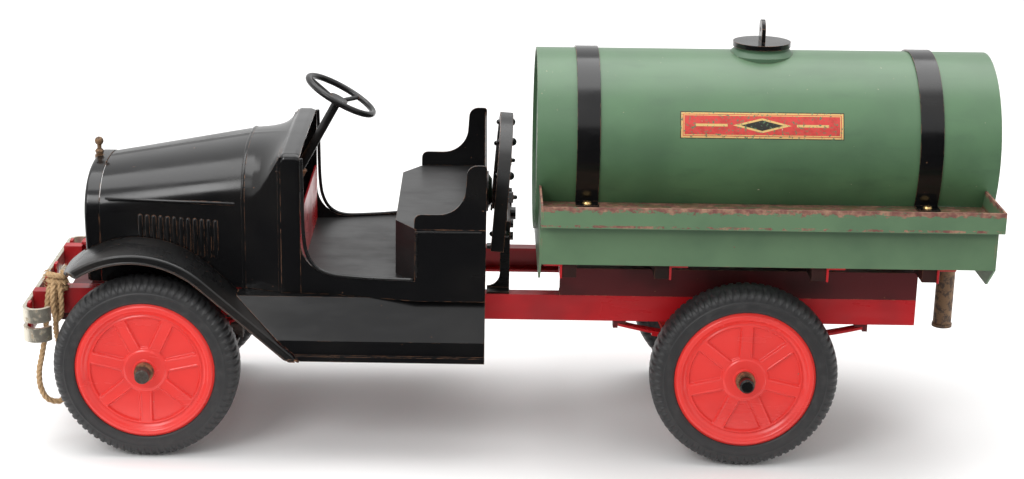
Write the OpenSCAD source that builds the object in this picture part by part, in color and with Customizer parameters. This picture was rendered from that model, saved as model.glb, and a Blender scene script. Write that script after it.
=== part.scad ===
// Pressed-steel toy tanker truck: a riveted chassis on leaf springs, an open cab,
// and a round tank strapped to a trough-sided bed. The truck faces +X, its left side
// is +Y, and the origin lies on the ground under the middle of its box.

/* [Overall] */
// Distance between the front and the rear axle lines
wheelbase = 367; // [340:1:460]
// From the front axle line to the bumper's face
front_overhang = 77; // [76:1:82]
// From the rear axle line to the tank's rear end
rear_overhang = 151; // [140:1:190]
// Thickness of the pressed sheet
sheet = 1.2; // [0.8:0.1:1.4]

/* [Wheels] */
// Outer diameter of a tyre
tyre_d = 115; // [104:1:118]
// Width of a tyre
tyre_w = 24.8; // [20:0.2:25]
// Outer diameter of a wheel disc, where the tyre sits
disc_d = 86; // [70:1:90]
// Distance between the middles of the left and right tyres
track = 156; // [155:1:166]
// Diameter of the axles
axle_d = 7.6; // [6:0.1:8.6]
// Outer diameter of the bush pressed into a wheel
bush_d = 11.6; // [11:0.1:14]
// Number of pressed spokes in a wheel
spokes = 7; // [5:1:9]

/* [Chassis] */
// Width across the outer faces of the side rails
frame_w = 109; // [96:1:110]
// Height of a side rail
rail_h = 16.4; // [12:0.2:18]
// Width of a rail's flanges
rail_flange = 9.5; // [7:0.5:12]
// Height of the rails' lower face above the ground
rail_z = 82.6; // [80:0.2:88]
// Height of the upper rails that carry the bed
subrail_h = 17.5; // [12:0.5:20]

/* [Cab] */
// Width across the seat and its arms
cab_w = 158; // [140:1:160]
// Half-width of the body at the dash
dash_half = 66; // [62:1:68]
// Half-width of the hood at its rear seam
hood_rear_half = 57; // [54:1:58]
// Half-width of the radiator
radiator_half = 47; // [42:1:50]
// Height of the dash above the ground
dash_z = 190; // [187:0.5:198]
// Height of the hood at its rear seam
hood_rear_z = 186.5; // [180:0.5:188]
// Height of the radiator's top
radiator_z = 169; // [160:1:176]
// Height of the floor's upper face
floor_z = 113; // [110:1:118]
// Height of the seat's upper face
seat_z = 147; // [140:1:152]
// Number of louvres in each side of the hood
louvres = 12; // [6:1:14]

/* [Steering] */
// Outer diameter of the steering wheel
wheel_ring_d = 50; // [40:1:56]
// Diameter of the steering column
column_d = 5.6; // [4:0.2:7]

/* [Tank] */
// Outer diameter of the tank
tank_d = 114.6; // [100:0.2:118]
// Length of the tank
tank_len = 280; // [240:1:300]
// Height of the tank's middle above the ground
tank_z = 185.8; // [184:0.2:190]
// Width of the straps over the tank
strap_w = 14; // [8:1:20]
// Outer diameter of the filler's cap
cap_d = 35.6; // [30:0.2:44]

/* [Bed] */
// Width across the bed's side lips
bed_w = 211; // [196:1:220]
// Height of the troughs' floor above the ground
trough_z = 158; // [154:1:162]
// Height of the lip above the troughs' floor
lip_h = 11.5; // [8:0.5:16]
// Distance that the side skirts stand in from the lips
skirt_in = 14.5; // [10:0.5:18]

/* [Hidden] */
$fn = 48;
overall_len = wheelbase + front_overhang + rear_overhang;
x_front = overall_len / 2 - front_overhang;
x_rear = x_front - wheelbase;
x_tail = -overall_len / 2;

tyre_r = tyre_d / 2;
disc_r = disc_d / 2;
axle_r = axle_d / 2;
bush_r = bush_d / 2;
axle_z = tyre_r;
wheel_y = track / 2;
fit = 0.05;          // running clearance, on the radius
touch = 0.2;         // gap between curved faces that lie on each other

// Wheel profile, measured along the axle from the middle of the tyre
rim_out = 13.5;
rim_in = -11;
web_out = 8.7;
hub_r = 9;
hub_in = -9;
hub_out = 12;
bush_out = 16.4;
stub_shoulder = hub_in - 0.4;
collar_r = axle_r + 1.6;
cap_gap = 0.4;
axle_cap_len = 7;
axle_cap_r = axle_r + 0.7;

// Chassis
rail_t = 1.6;
rail_top = rail_z + rail_h;
subrail_top = rail_top + subrail_h;
rail_out = frame_w / 2;
rail_mid = rail_out - rail_flange / 2;
rail_front = x_front + 62.5;
rail_rear = x_tail + 43.5;
subrail_front = x_tail + 264;
crossbar_x = [rail_rear + 6, x_rear + 44, x_front - 150, x_front - 66, x_front + 46];

// Springs: ends under the rails, middle on the axle
spring_w = 7;
leaf_t = 1.6;
front_span = 108;
rear_span = 152;
pad_z = axle_z + 9;
leaves = 3;
hanger_drop = 2;

// Cab stations along X
x_rad = x_front + 42;
x_hood = x_front + 32;
x_seam = x_front - 58.5;
x_dash = x_front - 83;
x_door = x_front - 94.5;
x_flare = x_front - 113;
x_panel = x_front - 165;
x_cab_rear = x_front - 208;
x_seat_front = x_front - 152.5;
body_z = 101.5;
sill_z = floor_z + 1.2;
cab_half = cab_w / 2;
flare_half = dash_half + 0.5;
shoulder = 32;
visor_h = 3.5;

// Plan of one cab side, from the cowl back to the rear corner
side_plan = [
  [x_door, dash_half + 0.2], [x_flare, flare_half + 1], [x_panel, cab_half], [x_cab_rear, cab_half]];

// Fenders and running boards
fender_r = 67;
fender_x = x_front + 5.9;
fender_z = axle_z + 8;
fender_out = 92;
fender_drop = 6.5;
fender_tip_a = 48;
fender_tail_a = 131;
board_z = 78.5;
board_low = 66;
step_h = 3.4;
step_out = 2.6;

// Steering
column_lean = 29;
crank_r = 14;
lean_s = sin(column_lean);
lean_c = cos(column_lean);
ring_x = x_front - 113.4;
ring_z = 208.2;
ring_tube = 2;
ring_r = wheel_ring_d / 2 - ring_tube;
ball_r = 2.4;
ball_z = axle_z + 1.5;
column_len = (ring_z - crank_r * lean_s - ball_z) / lean_c;
ball_x = ring_x + column_len * lean_s - crank_r * lean_c;
tie_z = axle_z - 7;
tie_r = 2;
arm_len = x_front - ball_x;
kingpin_y = wheel_y - tyre_w / 2 - 6.6;
kingpin_r = 2.5;
knuckle_r = 5;
knuckle_h = 9.6;
yoke_t = 2.6;
yoke_gap = 0.2;
tie_pin_r = 1.6;
tie_slack = 0.3;

// Tank and bed
tank_r = tank_d / 2;
tank_rear = x_tail;
tank_front = x_tail + tank_len;
bed_rear = x_tail + 6;
bed_front = tank_front - 2;
bed_half = bed_w / 2;
skirt_half = bed_half - skirt_in;
skirt_z = 130;
bed_foot_z = subrail_top;
filler_x = tank_rear + tank_len / 2;
neck_r = 15;
neck_z = tank_z + tank_r + 3.4;
strap_t = 1;
strap_x = [tank_front - 31.3, tank_rear + 41.8];
strap_foot = 12;
bolster_w = 18;
bolster_x = [bed_front - 16, bed_front - 83, bed_front - 173, bed_rear + 34];
pipe_x = tank_rear + 13.5;
pipe_r = 5.8;
pipe_low = 64.5;

// Half outline of the bed's end plates: lip, skirt and a cut-off lower corner
end_half = [
  [0, bed_foot_z], [skirt_half - 16, bed_foot_z], [skirt_half, skirt_z],
  [skirt_half, trough_z - sheet], [bed_half, trough_z - sheet], [bed_half, trough_z + lip_h],
  [0, trough_z + lip_h]];

// Rack behind the seat
rack_x = x_front - 215;
rack_back = x_front - 223;
rack_low = rail_top + 26;
rack_lean = 4;
rack_half = 50;
rack_top = 201;
rack_depth = 6;
rack_d = 8;

// Bumper
bumper_x = x_front + front_overhang;
bar_t = 2.5;
bar_h = 9;
bar_z = [71.5, 84];
bar_half = 72;
curl_r = 9;
clamp_y = [-68, -14, 14, 68];

// Tow rope: hand-picked points of its one route, in millimetres
rope_d = 3.8;
rope_sides = 8;
rope = [
  [282.8, 54.6, 102.6], [283.5, 59, 98.5], [284.5, 61, 90], [285.5, 61.5, 80], [287, 61.5, 69],
  [289.5, 61, 57], [292, 60, 46], [292, 59, 35], [288.5, 57, 26], [281.5, 53.5, 23],
  [276.8, 49.5, 27], [276.5, 46.5, 36], [278.5, 47, 47], [280.5, 50, 59], [281.3, 54, 69],
  [280.5, 58, 77], [279.6, 59, 86], [279.8, 59, 95], [279.2, 57.5, 101], [277, 58.5, 102],
  [276, 60.6, 96], [275.8, 61, 89], [276.4, 61, 83.5], [278.2, 62.8, 81], [279.8, 64, 85],
  [280.6, 63.5, 93], [280.6, 61.5, 100], [280.2, 58.5, 105], [280, 55.2, 106.5]
];
knot = [279.5, 51, 105.2];

// ---------------------------------------------------------------- helpers

module both_sides() {
  children();
  mirror([0, 1, 0]) children();
}

// A round bar from p to q
module rod(p, q, r) {
  d = q - p;
  translate(p) rotate([0, acos(d[2] / norm(d)), atan2(d[1], d[0])])
    cylinder(h = norm(d), r = r);
}

// A box given by its lowest and highest corners
module block(low, high) {
  translate(low) cube(high - low);
}

// An outline in X and Z, drawn out along Y from y0 to y1
module side_plate(y0, y1) {
  translate([0, y1, 0]) rotate([90, 0, 0]) linear_extrude(y1 - y0) children();
}

// An outline in Y and Z, drawn out along X from x0 to x1
module cross_plate(x0, x1) {
  translate([x0, 0, 0]) rotate([90, 0, 90]) linear_extrude(x1 - x0) children();
}

function arc(cx, cy, r, a0, a1, n) =
  [for (i = [0:n]) let (a = a0 + (a1 - a0) * i / n) [cx + r * cos(a), cy + r * sin(a)]];

function signed_pow(v, e) = sign(v) * pow(abs(v), e);

// Cross-section of the hood and the cowl: straight sides under a rounded top
function body_section(half, low, high, squareness) = concat(
  [[half, low]],
  [for (i = [0:24]) let (a = 180 * i / 24)
    [half * signed_pow(cos(a), 2 / squareness),
     high - shoulder + shoulder * signed_pow(sin(a), 2 / squareness)]],
  [[-half, low]]);

module body_slice(x, half, low, high, squareness) {
  cross_plate(x - 0.05, x + 0.05) polygon(body_section(half, low, high, squareness));
}

// ---------------------------------------------------------------- chassis

module rail_channel(x0, x1, z0, h) {
  difference() {
    block([x0, rail_out - rail_flange, z0], [x1, rail_out, z0 + h]);
    block([x0 - 1, rail_out - rail_flange - 1, z0 + rail_t],
          [x1 + 1, rail_out - rail_t, z0 + h - rail_t]);
  }
}

module rail() {
  color("firebrick") rail_channel(rail_rear, rail_front, rail_z, rail_h);
}

module rail_left() { rail(); }

module rail_right() { mirror([0, 1, 0]) rail(); }

module subrails() {
  color("firebrick") both_sides() rail_channel(rail_rear, subrail_front, rail_top, subrail_h);
}

// Channels that tie the two rails together, held between their webs
module cross_members() {
  color("maroon") for (x = crossbar_x)
    difference() {
      block([x - 6, rail_t - rail_out, rail_z + rail_t],
            [x + 6, rail_out - rail_t, rail_top - rail_t]);
      block([x - 6 + rail_t, -rail_out, rail_z], [x + 6 - rail_t, rail_out, rail_top - 2 * rail_t]);
    }
}

module front_axle_beam() {
  yoke_in = kingpin_y - 7;
  color("dimgray") {
    block([x_front - 4, -yoke_in, axle_z - 5], [x_front + 4, yoke_in, axle_z + 5]);
    both_sides() for (z = [axle_z - knuckle_h / 2 - yoke_gap - yoke_t, axle_z + knuckle_h / 2 + yoke_gap])
      difference() {
        union() {
          block([x_front - knuckle_r, yoke_in - 4, z], [x_front + knuckle_r, kingpin_y, z + yoke_t]);
          translate([x_front, kingpin_y, z]) cylinder(h = yoke_t, r = knuckle_r);
        }
        translate([x_front, kingpin_y, z - 1]) cylinder(h = yoke_t + 2, r = kingpin_r);
      }
    both_sides() block([x_front - 4, yoke_in - 4, axle_z - 7.2], [x_front + 4, yoke_in - 1, axle_z + 7.2]);
  }
}

module kingpins() {
  length = knuckle_h + 2 * (yoke_t + yoke_gap);
  color("gray") both_sides() translate([x_front, kingpin_y, axle_z - length / 2]) {
    cylinder(h = length, r = kingpin_r);
    translate([0, 0, length]) cylinder(h = 1.2, r = kingpin_r + 1);
    translate([0, 0, -1.2]) cylinder(h = 1.2, r = kingpin_r + 1);
  }
}

module rear_axle() {
  end = wheel_y + bush_out + cap_gap + axle_cap_len - 1.5;
  collar = wheel_y + stub_shoulder;
  color("dimgray") {
    rod([x_rear, -end, axle_z], [x_rear, end, axle_z], axle_r);
    rod([x_rear, -collar, axle_z], [x_rear, collar, axle_z], collar_r);
  }
}

// Cap pressed over an axle's end; it keeps the wheel on
module axle_cap() {
  difference() {
    union() {
      cylinder(h = axle_cap_len - 1, r = axle_cap_r);
      translate([0, 0, axle_cap_len - 1]) cylinder(h = 1, r1 = axle_cap_r, r2 = axle_cap_r - 1);
    }
    translate([0, 0, -1]) cylinder(h = axle_cap_len - 0.5, r = axle_r);
  }
}

module place_axle_cap(x) {
  translate([x, wheel_y + bush_out + cap_gap, axle_z]) rotate([-90, 0, 0]) axle_cap();
}

module rear_axle_caps() {
  color("black") both_sides() place_axle_cap(x_rear);
}

// Leaves nested round one centre above the axle, each shorter than the one above it
module leaf_stack(x, span) {
  rise = rail_z - hanger_drop - pad_z - leaves * leaf_t;
  r = (span * span / 4 + rise * rise) / (2 * rise);
  side_plate(rail_mid - spring_w / 2, rail_mid + spring_w / 2)
    for (i = [0:leaves - 1]) {
      half = span / 2 * (1 - 0.28 * i);
      intersection() {
        translate([x, rail_z - hanger_drop - rise + r]) difference() {
          circle(r = r + (i + 1) * leaf_t, $fn = 160);
          circle(r = r + i * leaf_t, $fn = 160);
        }
        translate([x - half, pad_z - 1]) square([2 * half, rail_z - pad_z]);
      }
    }
}

module springs_front() {
  color("firebrick") both_sides() leaf_stack(x_front, front_span);
}

module springs_rear() {
  color("firebrick") both_sides() leaf_stack(x_rear, rear_span);
}

module spring_saddle(x, low) {
  block([x - 8, rail_mid - spring_w / 2 - 1.6, low], [x + 8, rail_mid + spring_w / 2 + 1.6, pad_z]);
}

// Clip under a rail that holds one end of the top leaf
module spring_hanger(x, side) {
  translate([x, 0, 0]) mirror([side < 0 ? 1 : 0, 0, 0]) {
    block([-5, rail_mid - spring_w / 2, rail_z - hanger_drop], [0, rail_mid + spring_w / 2, rail_z]);
    block([0, rail_mid - spring_w / 2, rail_z - 5], [3, rail_mid + spring_w / 2, rail_z]);
  }
}

module spring_mounts() {
  color("maroon") both_sides() {
    spring_saddle(x_front, axle_z + knuckle_h / 2 + yoke_gap + yoke_t);
    difference() {
      spring_saddle(x_rear, axle_z);
      rod([x_rear, 0, axle_z], [x_rear, rail_out + 10, axle_z], collar_r);
    }
    for (side = [-1, 1]) {
      spring_hanger(x_front + side * front_span / 2, side);
      spring_hanger(x_rear + side * rear_span / 2, side);
    }
  }
}

// ---------------------------------------------------------------- wheels

module wheel_disc() {
  spoke_out = disc_r - 7;
  difference() {
    union() {
      rotate_extrude($fn = 96) polygon([
        [bush_r, hub_in], [hub_r, hub_in], [hub_r, web_out - 1.5], [disc_r - 1.5, web_out - 1.5],
        [disc_r - 1.5, rim_in], [disc_r, rim_in], [disc_r, rim_out - 2], [disc_r - 1.5, rim_out],
        [disc_r - 4, rim_out], [disc_r - 6, rim_out - 2.5], [disc_r - 8, web_out], [17, web_out],
        [14.5, hub_out - 0.6], [hub_r, hub_out], [bush_r, hub_out]]);
      for (i = [0:spokes - 1]) rotate(90 + 360 * i / spokes) translate([0, 0, web_out - 0.5])
        linear_extrude(2.1) polygon([[12, -3], [spoke_out, -4.6], [spoke_out, 4.6], [12, 3]]);
    }
    translate([0, 0, hub_in - 1]) cylinder(h = hub_out - hub_in + 2, r = bush_r);
  }
}

module tyre() {
  half = tyre_w / 2;
  rotate_extrude($fn = 96) polygon(concat(
    [[disc_r, 1 - half], [disc_r + 3, -half]],
    arc(tyre_r - 7, 7 - half, 7, -90, 0, 6),
    arc(tyre_r - 7, half - 7, 7, 0, 90, 6),
    [[disc_r + 3, half], [disc_r, half - 1]]));
}

module bush() {
  difference() {
    translate([0, 0, hub_in]) cylinder(h = bush_out - hub_in, r = bush_r);
    translate([0, 0, hub_in - 1]) cylinder(h = bush_out - hub_in + 2, r = axle_r + fit);
  }
}

module place_wheel(x, side) {
  mirror([0, side < 0 ? 1 : 0, 0]) translate([x, wheel_y, axle_z]) rotate([-90, 0, 0]) children();
}

module disc_front_left() { color("tomato") place_wheel(x_front, 1) rotate(180) wheel_disc(); }
module disc_front_right() { color("tomato") place_wheel(x_front, -1) rotate(180) wheel_disc(); }
module disc_rear_left() { color("tomato") place_wheel(x_rear, 1) wheel_disc(); }
module disc_rear_right() { color("tomato") place_wheel(x_rear, -1) wheel_disc(); }
module tyre_front_left() { color("dimgray") place_wheel(x_front, 1) tyre(); }
module tyre_front_right() { color("dimgray") place_wheel(x_front, -1) tyre(); }
module tyre_rear_left() { color("dimgray") place_wheel(x_rear, 1) tyre(); }
module tyre_rear_right() { color("dimgray") place_wheel(x_rear, -1) tyre(); }
module bush_front_left() { color("peru") place_wheel(x_front, 1) bush(); }
module bush_front_right() { color("peru") place_wheel(x_front, -1) bush(); }
module bush_rear_left() { color("peru") place_wheel(x_rear, 1) bush(); }
module bush_rear_right() { color("peru") place_wheel(x_rear, -1) bush(); }

// ---------------------------------------------------------------- steering

module knuckle() {
  end = wheel_y + bush_out + cap_gap + axle_cap_len - 1.5;
  shoulder_y = wheel_y + stub_shoulder;
  arm_half = 3;
  color("dimgray") {
    difference() {
      union() {
        translate([x_front, kingpin_y, axle_z - knuckle_h / 2]) cylinder(h = knuckle_h, r = knuckle_r);
        rod([x_front, kingpin_y, axle_z], [x_front, shoulder_y, axle_z], axle_r + 0.8);
        block([x_front - arm_len, kingpin_y - arm_half, axle_z - 3],
              [x_front, kingpin_y + arm_half, axle_z]);
        translate([x_front - arm_len, kingpin_y, axle_z - 3]) cylinder(h = 3, r = arm_half + 0.8);
      }
      translate([x_front, kingpin_y, axle_z - knuckle_h]) cylinder(h = 2 * knuckle_h, r = kingpin_r + fit);
      for (shift = [-0.8, 0.2]) translate([x_front - arm_len + shift, kingpin_y, axle_z - 4])
        cylinder(h = 5, r = tie_pin_r + tie_slack);
      block([x_front - arm_len - 0.8, kingpin_y - tie_pin_r - tie_slack, axle_z - 4],
            [x_front - arm_len + 0.2, kingpin_y + tie_pin_r + tie_slack, axle_z + 1]);
    }
    rod([x_front, kingpin_y + kingpin_r + 1, axle_z], [x_front, end, axle_z], axle_r);
  }
  color("black") place_axle_cap(x_front);
}

module knuckle_left() { knuckle(); }
module knuckle_right() { mirror([0, 1, 0]) knuckle(); }

// Bar across both steering arms, with two ears that take the crank's ball
module tie_rod() {
  x = ball_x;
  color("dimgray") {
    rod([x, -kingpin_y, tie_z], [x, kingpin_y, tie_z], tie_r);
    both_sides() {
      translate([x, kingpin_y, tie_z - tie_r]) cylinder(h = axle_z + 1.6 - tie_z + tie_r, r = tie_pin_r);
      translate([x, kingpin_y, tie_z - tie_r]) cylinder(h = 2 * tie_r + 0.4, r = tie_r + 1);
      block([x - 4, ball_r + tie_slack, tie_z], [x + 4, ball_r + tie_slack + 2, ball_z + 1]);
    }
  }
}

// Local frame of the column: +Z points down the column from the wheel's hub
module on_column() {
  translate([ring_x, 0, ring_z]) rotate([0, 180 - column_lean, 0]) children();
}

module steering_column() {
  color("black") on_column() {
    cylinder(h = column_len, r = column_d / 2);
    translate([0, 0, column_len - 3.5]) cylinder(h = 3.5, r = column_d / 2 + 1.4);
    block([0, -2, column_len - 3.5], [crank_r, 2, column_len - 0.5]);
    translate([crank_r, 0, column_len - 2]) cylinder(h = 2, r = 1.6);
    translate([crank_r, 0, column_len]) sphere(r = ball_r);
  }
}

module steering_wheel() {
  color("black") on_column() {
    translate([0, 0, -4]) rotate_extrude($fn = 96) translate([ring_r, 0]) circle(r = ring_tube);
    difference() {
      union() {
        translate([0, 0, -2]) cylinder(h = 4, r = 6);
        for (i = [0:2]) rotate(60 + 120 * i) rod([4, 0, 0], [ring_r, 0, -4], 1.5);
      }
      cylinder(h = 10, r = column_d / 2);
    }
  }
}

// Collar round the column, hung from the dash
module column_bracket() {
  at = 50;
  plate_x = ring_x + at * lean_s + 1.8;
  color("saddlebrown") difference() {
    union() {
      on_column() translate([0, 0, at]) cylinder(h = 6, r = column_d / 2 + 2);
      block([plate_x, -7, ring_z - at * lean_c - 2], [plate_x + sheet, 7, dash_z - sheet - 0.1]);
    }
    on_column() translate([0, 0, at - 8]) cylinder(h = 24, r = column_d / 2 + fit);
  }
}

// ---------------------------------------------------------------- cab

module hood_solid(inset) {
  hull() {
    body_slice(x_hood - 0.05, radiator_half + 0.5 - inset, body_z - inset, radiator_z + 1.3 - inset, 2.6);
    body_slice(x_seam + 0.05, hood_rear_half - inset, body_z - inset, hood_rear_z - inset, 2.6);
  }
}

function hood_side(x) = radiator_half + 0.5
  + (hood_rear_half - radiator_half - 0.5) * (x_hood - x) / (x_hood - x_seam);

module hood() {
  bead_z = 155;
  louvre_low = 122;
  louvre_high = 146.5;
  first = x_front + 5.5;
  pitch = 4.43;
  color("black") {
    difference() {
      hood_solid(0);
      hood_solid(sheet);
      block([x_hood - 1, -radiator_half + 2, body_z - 5], [x_hood + 1, radiator_half - 2, radiator_z - 18]);
      block([x_seam - 1, -hood_rear_half + 2, body_z - 5],
            [x_seam + 1, hood_rear_half - 2, hood_rear_z - 18]);
    }
    both_sides() {
      rod([x_front + 26, hood_side(x_front + 26) - 0.3, bead_z],
          [x_front - 51.5, hood_side(x_front - 51.5) - 0.3, bead_z], 1);
      for (i = [0:louvres - 1]) {
        x = first - pitch * i;
        rod([x, hood_side(x) - 0.1, louvre_low], [x, hood_side(x) - 0.1, louvre_high], 1.1);
      }
    }
  }
}

module cowl_solid(inset) {
  hull() {
    body_slice(x_seam - 0.05, hood_rear_half - inset, body_z - inset, hood_rear_z - inset, 2.6);
    body_slice(x_dash, dash_half - 2 - inset, body_z - inset, dash_z - visor_h - inset, 3.6);
  }
  hull() {
    body_slice(x_dash - inset, dash_half - inset, body_z - inset, dash_z - inset, 5.5);
    body_slice(x_door + 0.05, dash_half + 0.2 - inset, body_z - inset, dash_z - inset, 5.5);
  }
}

module cowl() {
  color("black") difference() {
    cowl_solid(0);
    cowl_solid(sheet);
    block([x_seam - 1, -hood_rear_half + 2, body_z - 5], [x_seam + 1, hood_rear_half - 2, hood_rear_z - 18]);
    cross_plate(x_dash - 2 * sheet, x_dash)
      polygon(body_section(dash_half - 2 - sheet, body_z - 5, dash_z - visor_h - sheet, 3.6));
    cross_plate(x_door - 1, x_door + 1) polygon(body_section(dash_half - 2, body_z - 5, dash_z - 2.4, 5.5));
  }
}

// Shell open at its back and foot, with a window at its front
module radiator_shell() {
  half = radiator_half - 9;
  in_half = radiator_half - sheet;
  color("black") difference() {
    cross_plate(x_hood, x_rad) polygon(body_section(radiator_half, body_z, radiator_z, 2.8));
    cross_plate(x_hood - 1, x_rad - 4) polygon(body_section(in_half, body_z - 5, radiator_z - 2 * sheet, 2.8));
    block([x_rad - 5, -half, body_z + 6], [x_rad + 1, half, radiator_z - 26]);
  }
}

// Core behind the shell's window, with upright fins
module radiator_core() {
  half = radiator_half - 7;
  fin_pitch = 5;
  fins = floor(2 * (half - 4) / fin_pitch);
  face = x_rad - 4;
  color("gray") {
    block([x_hood + 1, -half, body_z + 2], [face, half, radiator_z - 23]);
    for (i = [0:fins]) {
      y = (i - fins / 2) * fin_pitch;
      block([face, y - 0.6, body_z + 8], [face + 1.4, y + 0.6, radiator_z - 28]);
    }
  }
}

module radiator_cap() {
  color("saddlebrown") translate([x_rad - 3, 0, radiator_z]) {
    cylinder(h = 2, r = 3);
    translate([0, 0, 2]) cylinder(h = 2.6, r1 = 2, r2 = 2.9);
    translate([0, 0, 4.6]) cylinder(h = 1.4, r1 = 2.9, r2 = 1.8);
    translate([0, 0, 6]) cylinder(h = 3, r = 1.4);
    translate([0, 0, 11]) sphere(r = 2.8);
  }
}

module cab_side() {
  fillet = 20;
  intersection() {
    linear_extrude(300) polygon(concat(
      side_plan,
      [for (i = [3:-1:0]) side_plan[i] - [0, sheet]]));
    side_plate(0, 200) polygon(concat(
      [[x_cab_rear, body_z], [x_door, body_z], [x_door, sill_z + fillet]],
      arc(x_door - fillet, sill_z + fillet, fillet, 0, -90, 8),
      [[x_panel, sill_z], [x_panel, seat_z], [x_cab_rear, seat_z]]));
  }
}

module cab_body() {
  color("black") {
    both_sides() cab_side();
    block([x_cab_rear, -cab_half, body_z], [x_cab_rear + sheet, cab_half, seat_z]);
  }
}

// Floor between the cab's sides, from the toe board back under the seat
module floor_pan() {
  half = [for (p = side_plan) [max(p[0], x_cab_rear + sheet), p[1] - sheet]];
  color("dimgray") translate([0, 0, floor_z - sheet]) linear_extrude(sheet)
    polygon(concat(half, [for (p = reversed(half)) [p[0], -p[1]]]));
}

module toe_board() {
  color("firebrick") block([x_door, 3 - dash_half, floor_z - sheet], [x_door + sheet, dash_half - 3, 150]);
}

// Box seat: the front corners are cut off, the body's sides close its ends
module seat_box() {
  half = cab_half - sheet;
  top = [[x_cab_rear + sheet, -half], [x_panel, -half], [x_seat_front, -58], [x_seat_front, 58],
         [x_panel, half], [x_cab_rear + sheet, half]];
  color("black") difference() {
    translate([0, 0, floor_z]) linear_extrude(seat_z - floor_z) polygon(top);
    translate([0, 0, floor_z - 1]) linear_extrude(seat_z - floor_z + 1 - sheet) polygon([
      [x_cab_rear + 2 * sheet, -half + sheet], [x_panel - 0.4, -half + sheet],
      [x_seat_front - sheet, -57.4], [x_seat_front - sheet, 57.4],
      [x_panel - 0.4, half - sheet], [x_cab_rear + 2 * sheet, half - sheet]]);
  }
}

// Seat back with its two curved arms, pressed from one sheet
module seat_back() {
  arm_low = 9.4;
  sweep = 16.5;
  lobe = 6;
  top = 187;
  back_t = x_cab_rear + sheet;
  cove = [x_panel - 14, seat_z + arm_low + sweep];
  outline = concat(
    [[x_cab_rear, seat_z], [x_panel + 0.5, seat_z]],
    arc(x_panel - 3.5, seat_z + arm_low - 4, 4, 0, 90, 5),
    arc(cove[0], cove[1], sweep, -90, -180, 10),
    arc(x_cab_rear + lobe, top - lobe, lobe, 0, 90, 6),
    arc(x_cab_rear + 2, top - 2, 2, 90, 180, 3));
  color("black") {
    both_sides() side_plate(cab_half - sheet, cab_half) polygon(outline);
    block([x_cab_rear, -cab_half + sheet, seat_z], [back_t, cab_half - sheet, top - 3]);
  }
}

module seat_boss() {
  color("black") translate([x_cab_rear, 0, 150.5]) rotate([0, -90, 0]) {
    cylinder(h = 1.4, r = 13);
    translate([0, 0, 1.4]) cylinder(h = 2.2, r1 = 11, r2 = 8);
  }
}

// ---------------------------------------------------------------- fenders

// Centre line of the fender: an arc over the wheel, then straight down to the board
function fender_line(r) = concat(
  arc(fender_x, fender_z, r, fender_tip_a, fender_tail_a, 28),
  [let (p = [fender_x + r * cos(fender_tail_a), fender_z + r * sin(fender_tail_a)],
        run = (p[1] - board_low) / sin(fender_tail_a - 90))
    p - run * [cos(fender_tail_a - 90), sin(fender_tail_a - 90)]]);

function reversed(list) = [for (i = [len(list) - 1:-1:0]) list[i]];

// The strip's inner edge follows the hood's side
module fender() {
  inner = radiator_half - 4;
  gap = 1.4;           // clears the louvres
  color("black") {
    intersection() {
      side_plate(inner, fender_out)
        polygon(concat(fender_line(fender_r), reversed(fender_line(fender_r - sheet))));
      linear_extrude(2 * fender_r + fender_z) polygon([
        [x_dash - 30, hood_rear_half + gap], [x_seam, hood_rear_half + gap], [x_hood, hood_side(x_hood) + gap],
        [x_rad, hood_side(x_hood) + gap], [x_rad, inner - 1], [x_rad + 40, inner - 1],
        [x_rad + 40, fender_out + 1], [x_dash - 30, fender_out + 1]]);
    }
    side_plate(fender_out - sheet, fender_out)
      polygon(concat(fender_line(fender_r), reversed(fender_line(fender_r - fender_drop))));
  }
}

module fender_left() { fender(); }
module fender_right() { mirror([0, 1, 0]) fender(); }

// Apron that slopes out from the body, then drops to a narrow lip; its front follows the fender's tail
module running_board() {
  apron_y = flare_half + 6;
  face_y = fender_out - step_out;
  tail = fender_line(fender_r);
  foot = tail[len(tail) - 1];
  head = tail[len(tail) - 2];
  slope = (head[0] - foot[0]) / (head[1] - foot[1]);
  gap = 0.2;
  top = rail_top + 2 * sheet;
  color("black") intersection() {
    cross_plate(x_cab_rear, head[0]) polygon([
      [rail_out - rail_flange, rail_top + sheet], [rail_out + 1, rail_top + sheet], [rail_out + 4, body_z],
      [apron_y, body_z], [face_y, board_z], [face_y, board_low + step_h], [fender_out, board_low + step_h],
      [fender_out, board_low], [fender_out - sheet, board_low],
      [fender_out - sheet, board_low + step_h - sheet], [face_y - sheet, board_low + step_h - sheet], [face_y - sheet, board_z - 0.5],
      [apron_y - 1, body_z - sheet], [rail_out + 4.6, body_z - sheet],
      [rail_out + 1.6, rail_top], [rail_out - rail_flange, rail_top]]);
    side_plate(rail_out - rail_flange - 1, fender_out + 1) polygon([
      [x_cab_rear - 1, board_low - 1], [foot[0] - gap - slope, board_low - 1],
      [foot[0] - gap + slope * (top - board_low), top], [x_cab_rear - 1, top]]);
  }
}

module running_boards() { both_sides() running_board(); }

// ---------------------------------------------------------------- rack

// Hoop of channel section standing behind the seat; it leans back a little
module rack_hoop() {
  leg = rack_top - rack_half - rack_low;
  color("dimgray") translate([rack_x, 0, rack_low]) rotate([0, -rack_lean, 0]) {
    translate([0, 0, leg]) rotate([90, 0, 90]) rotate_extrude(angle = 180) hoop_section();
    both_sides() rotate([0, 0, 90]) linear_extrude(leg) hoop_section();
  }
}

module hoop_section() {
  difference() {
    translate([rack_half - rack_depth, -rack_d / 2]) square([rack_depth, rack_d]);
    translate([rack_half - rack_depth - 1, -rack_d / 2 + sheet])
      square([rack_depth + 1 - sheet, rack_d - 2 * sheet]);
  }
}

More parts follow.
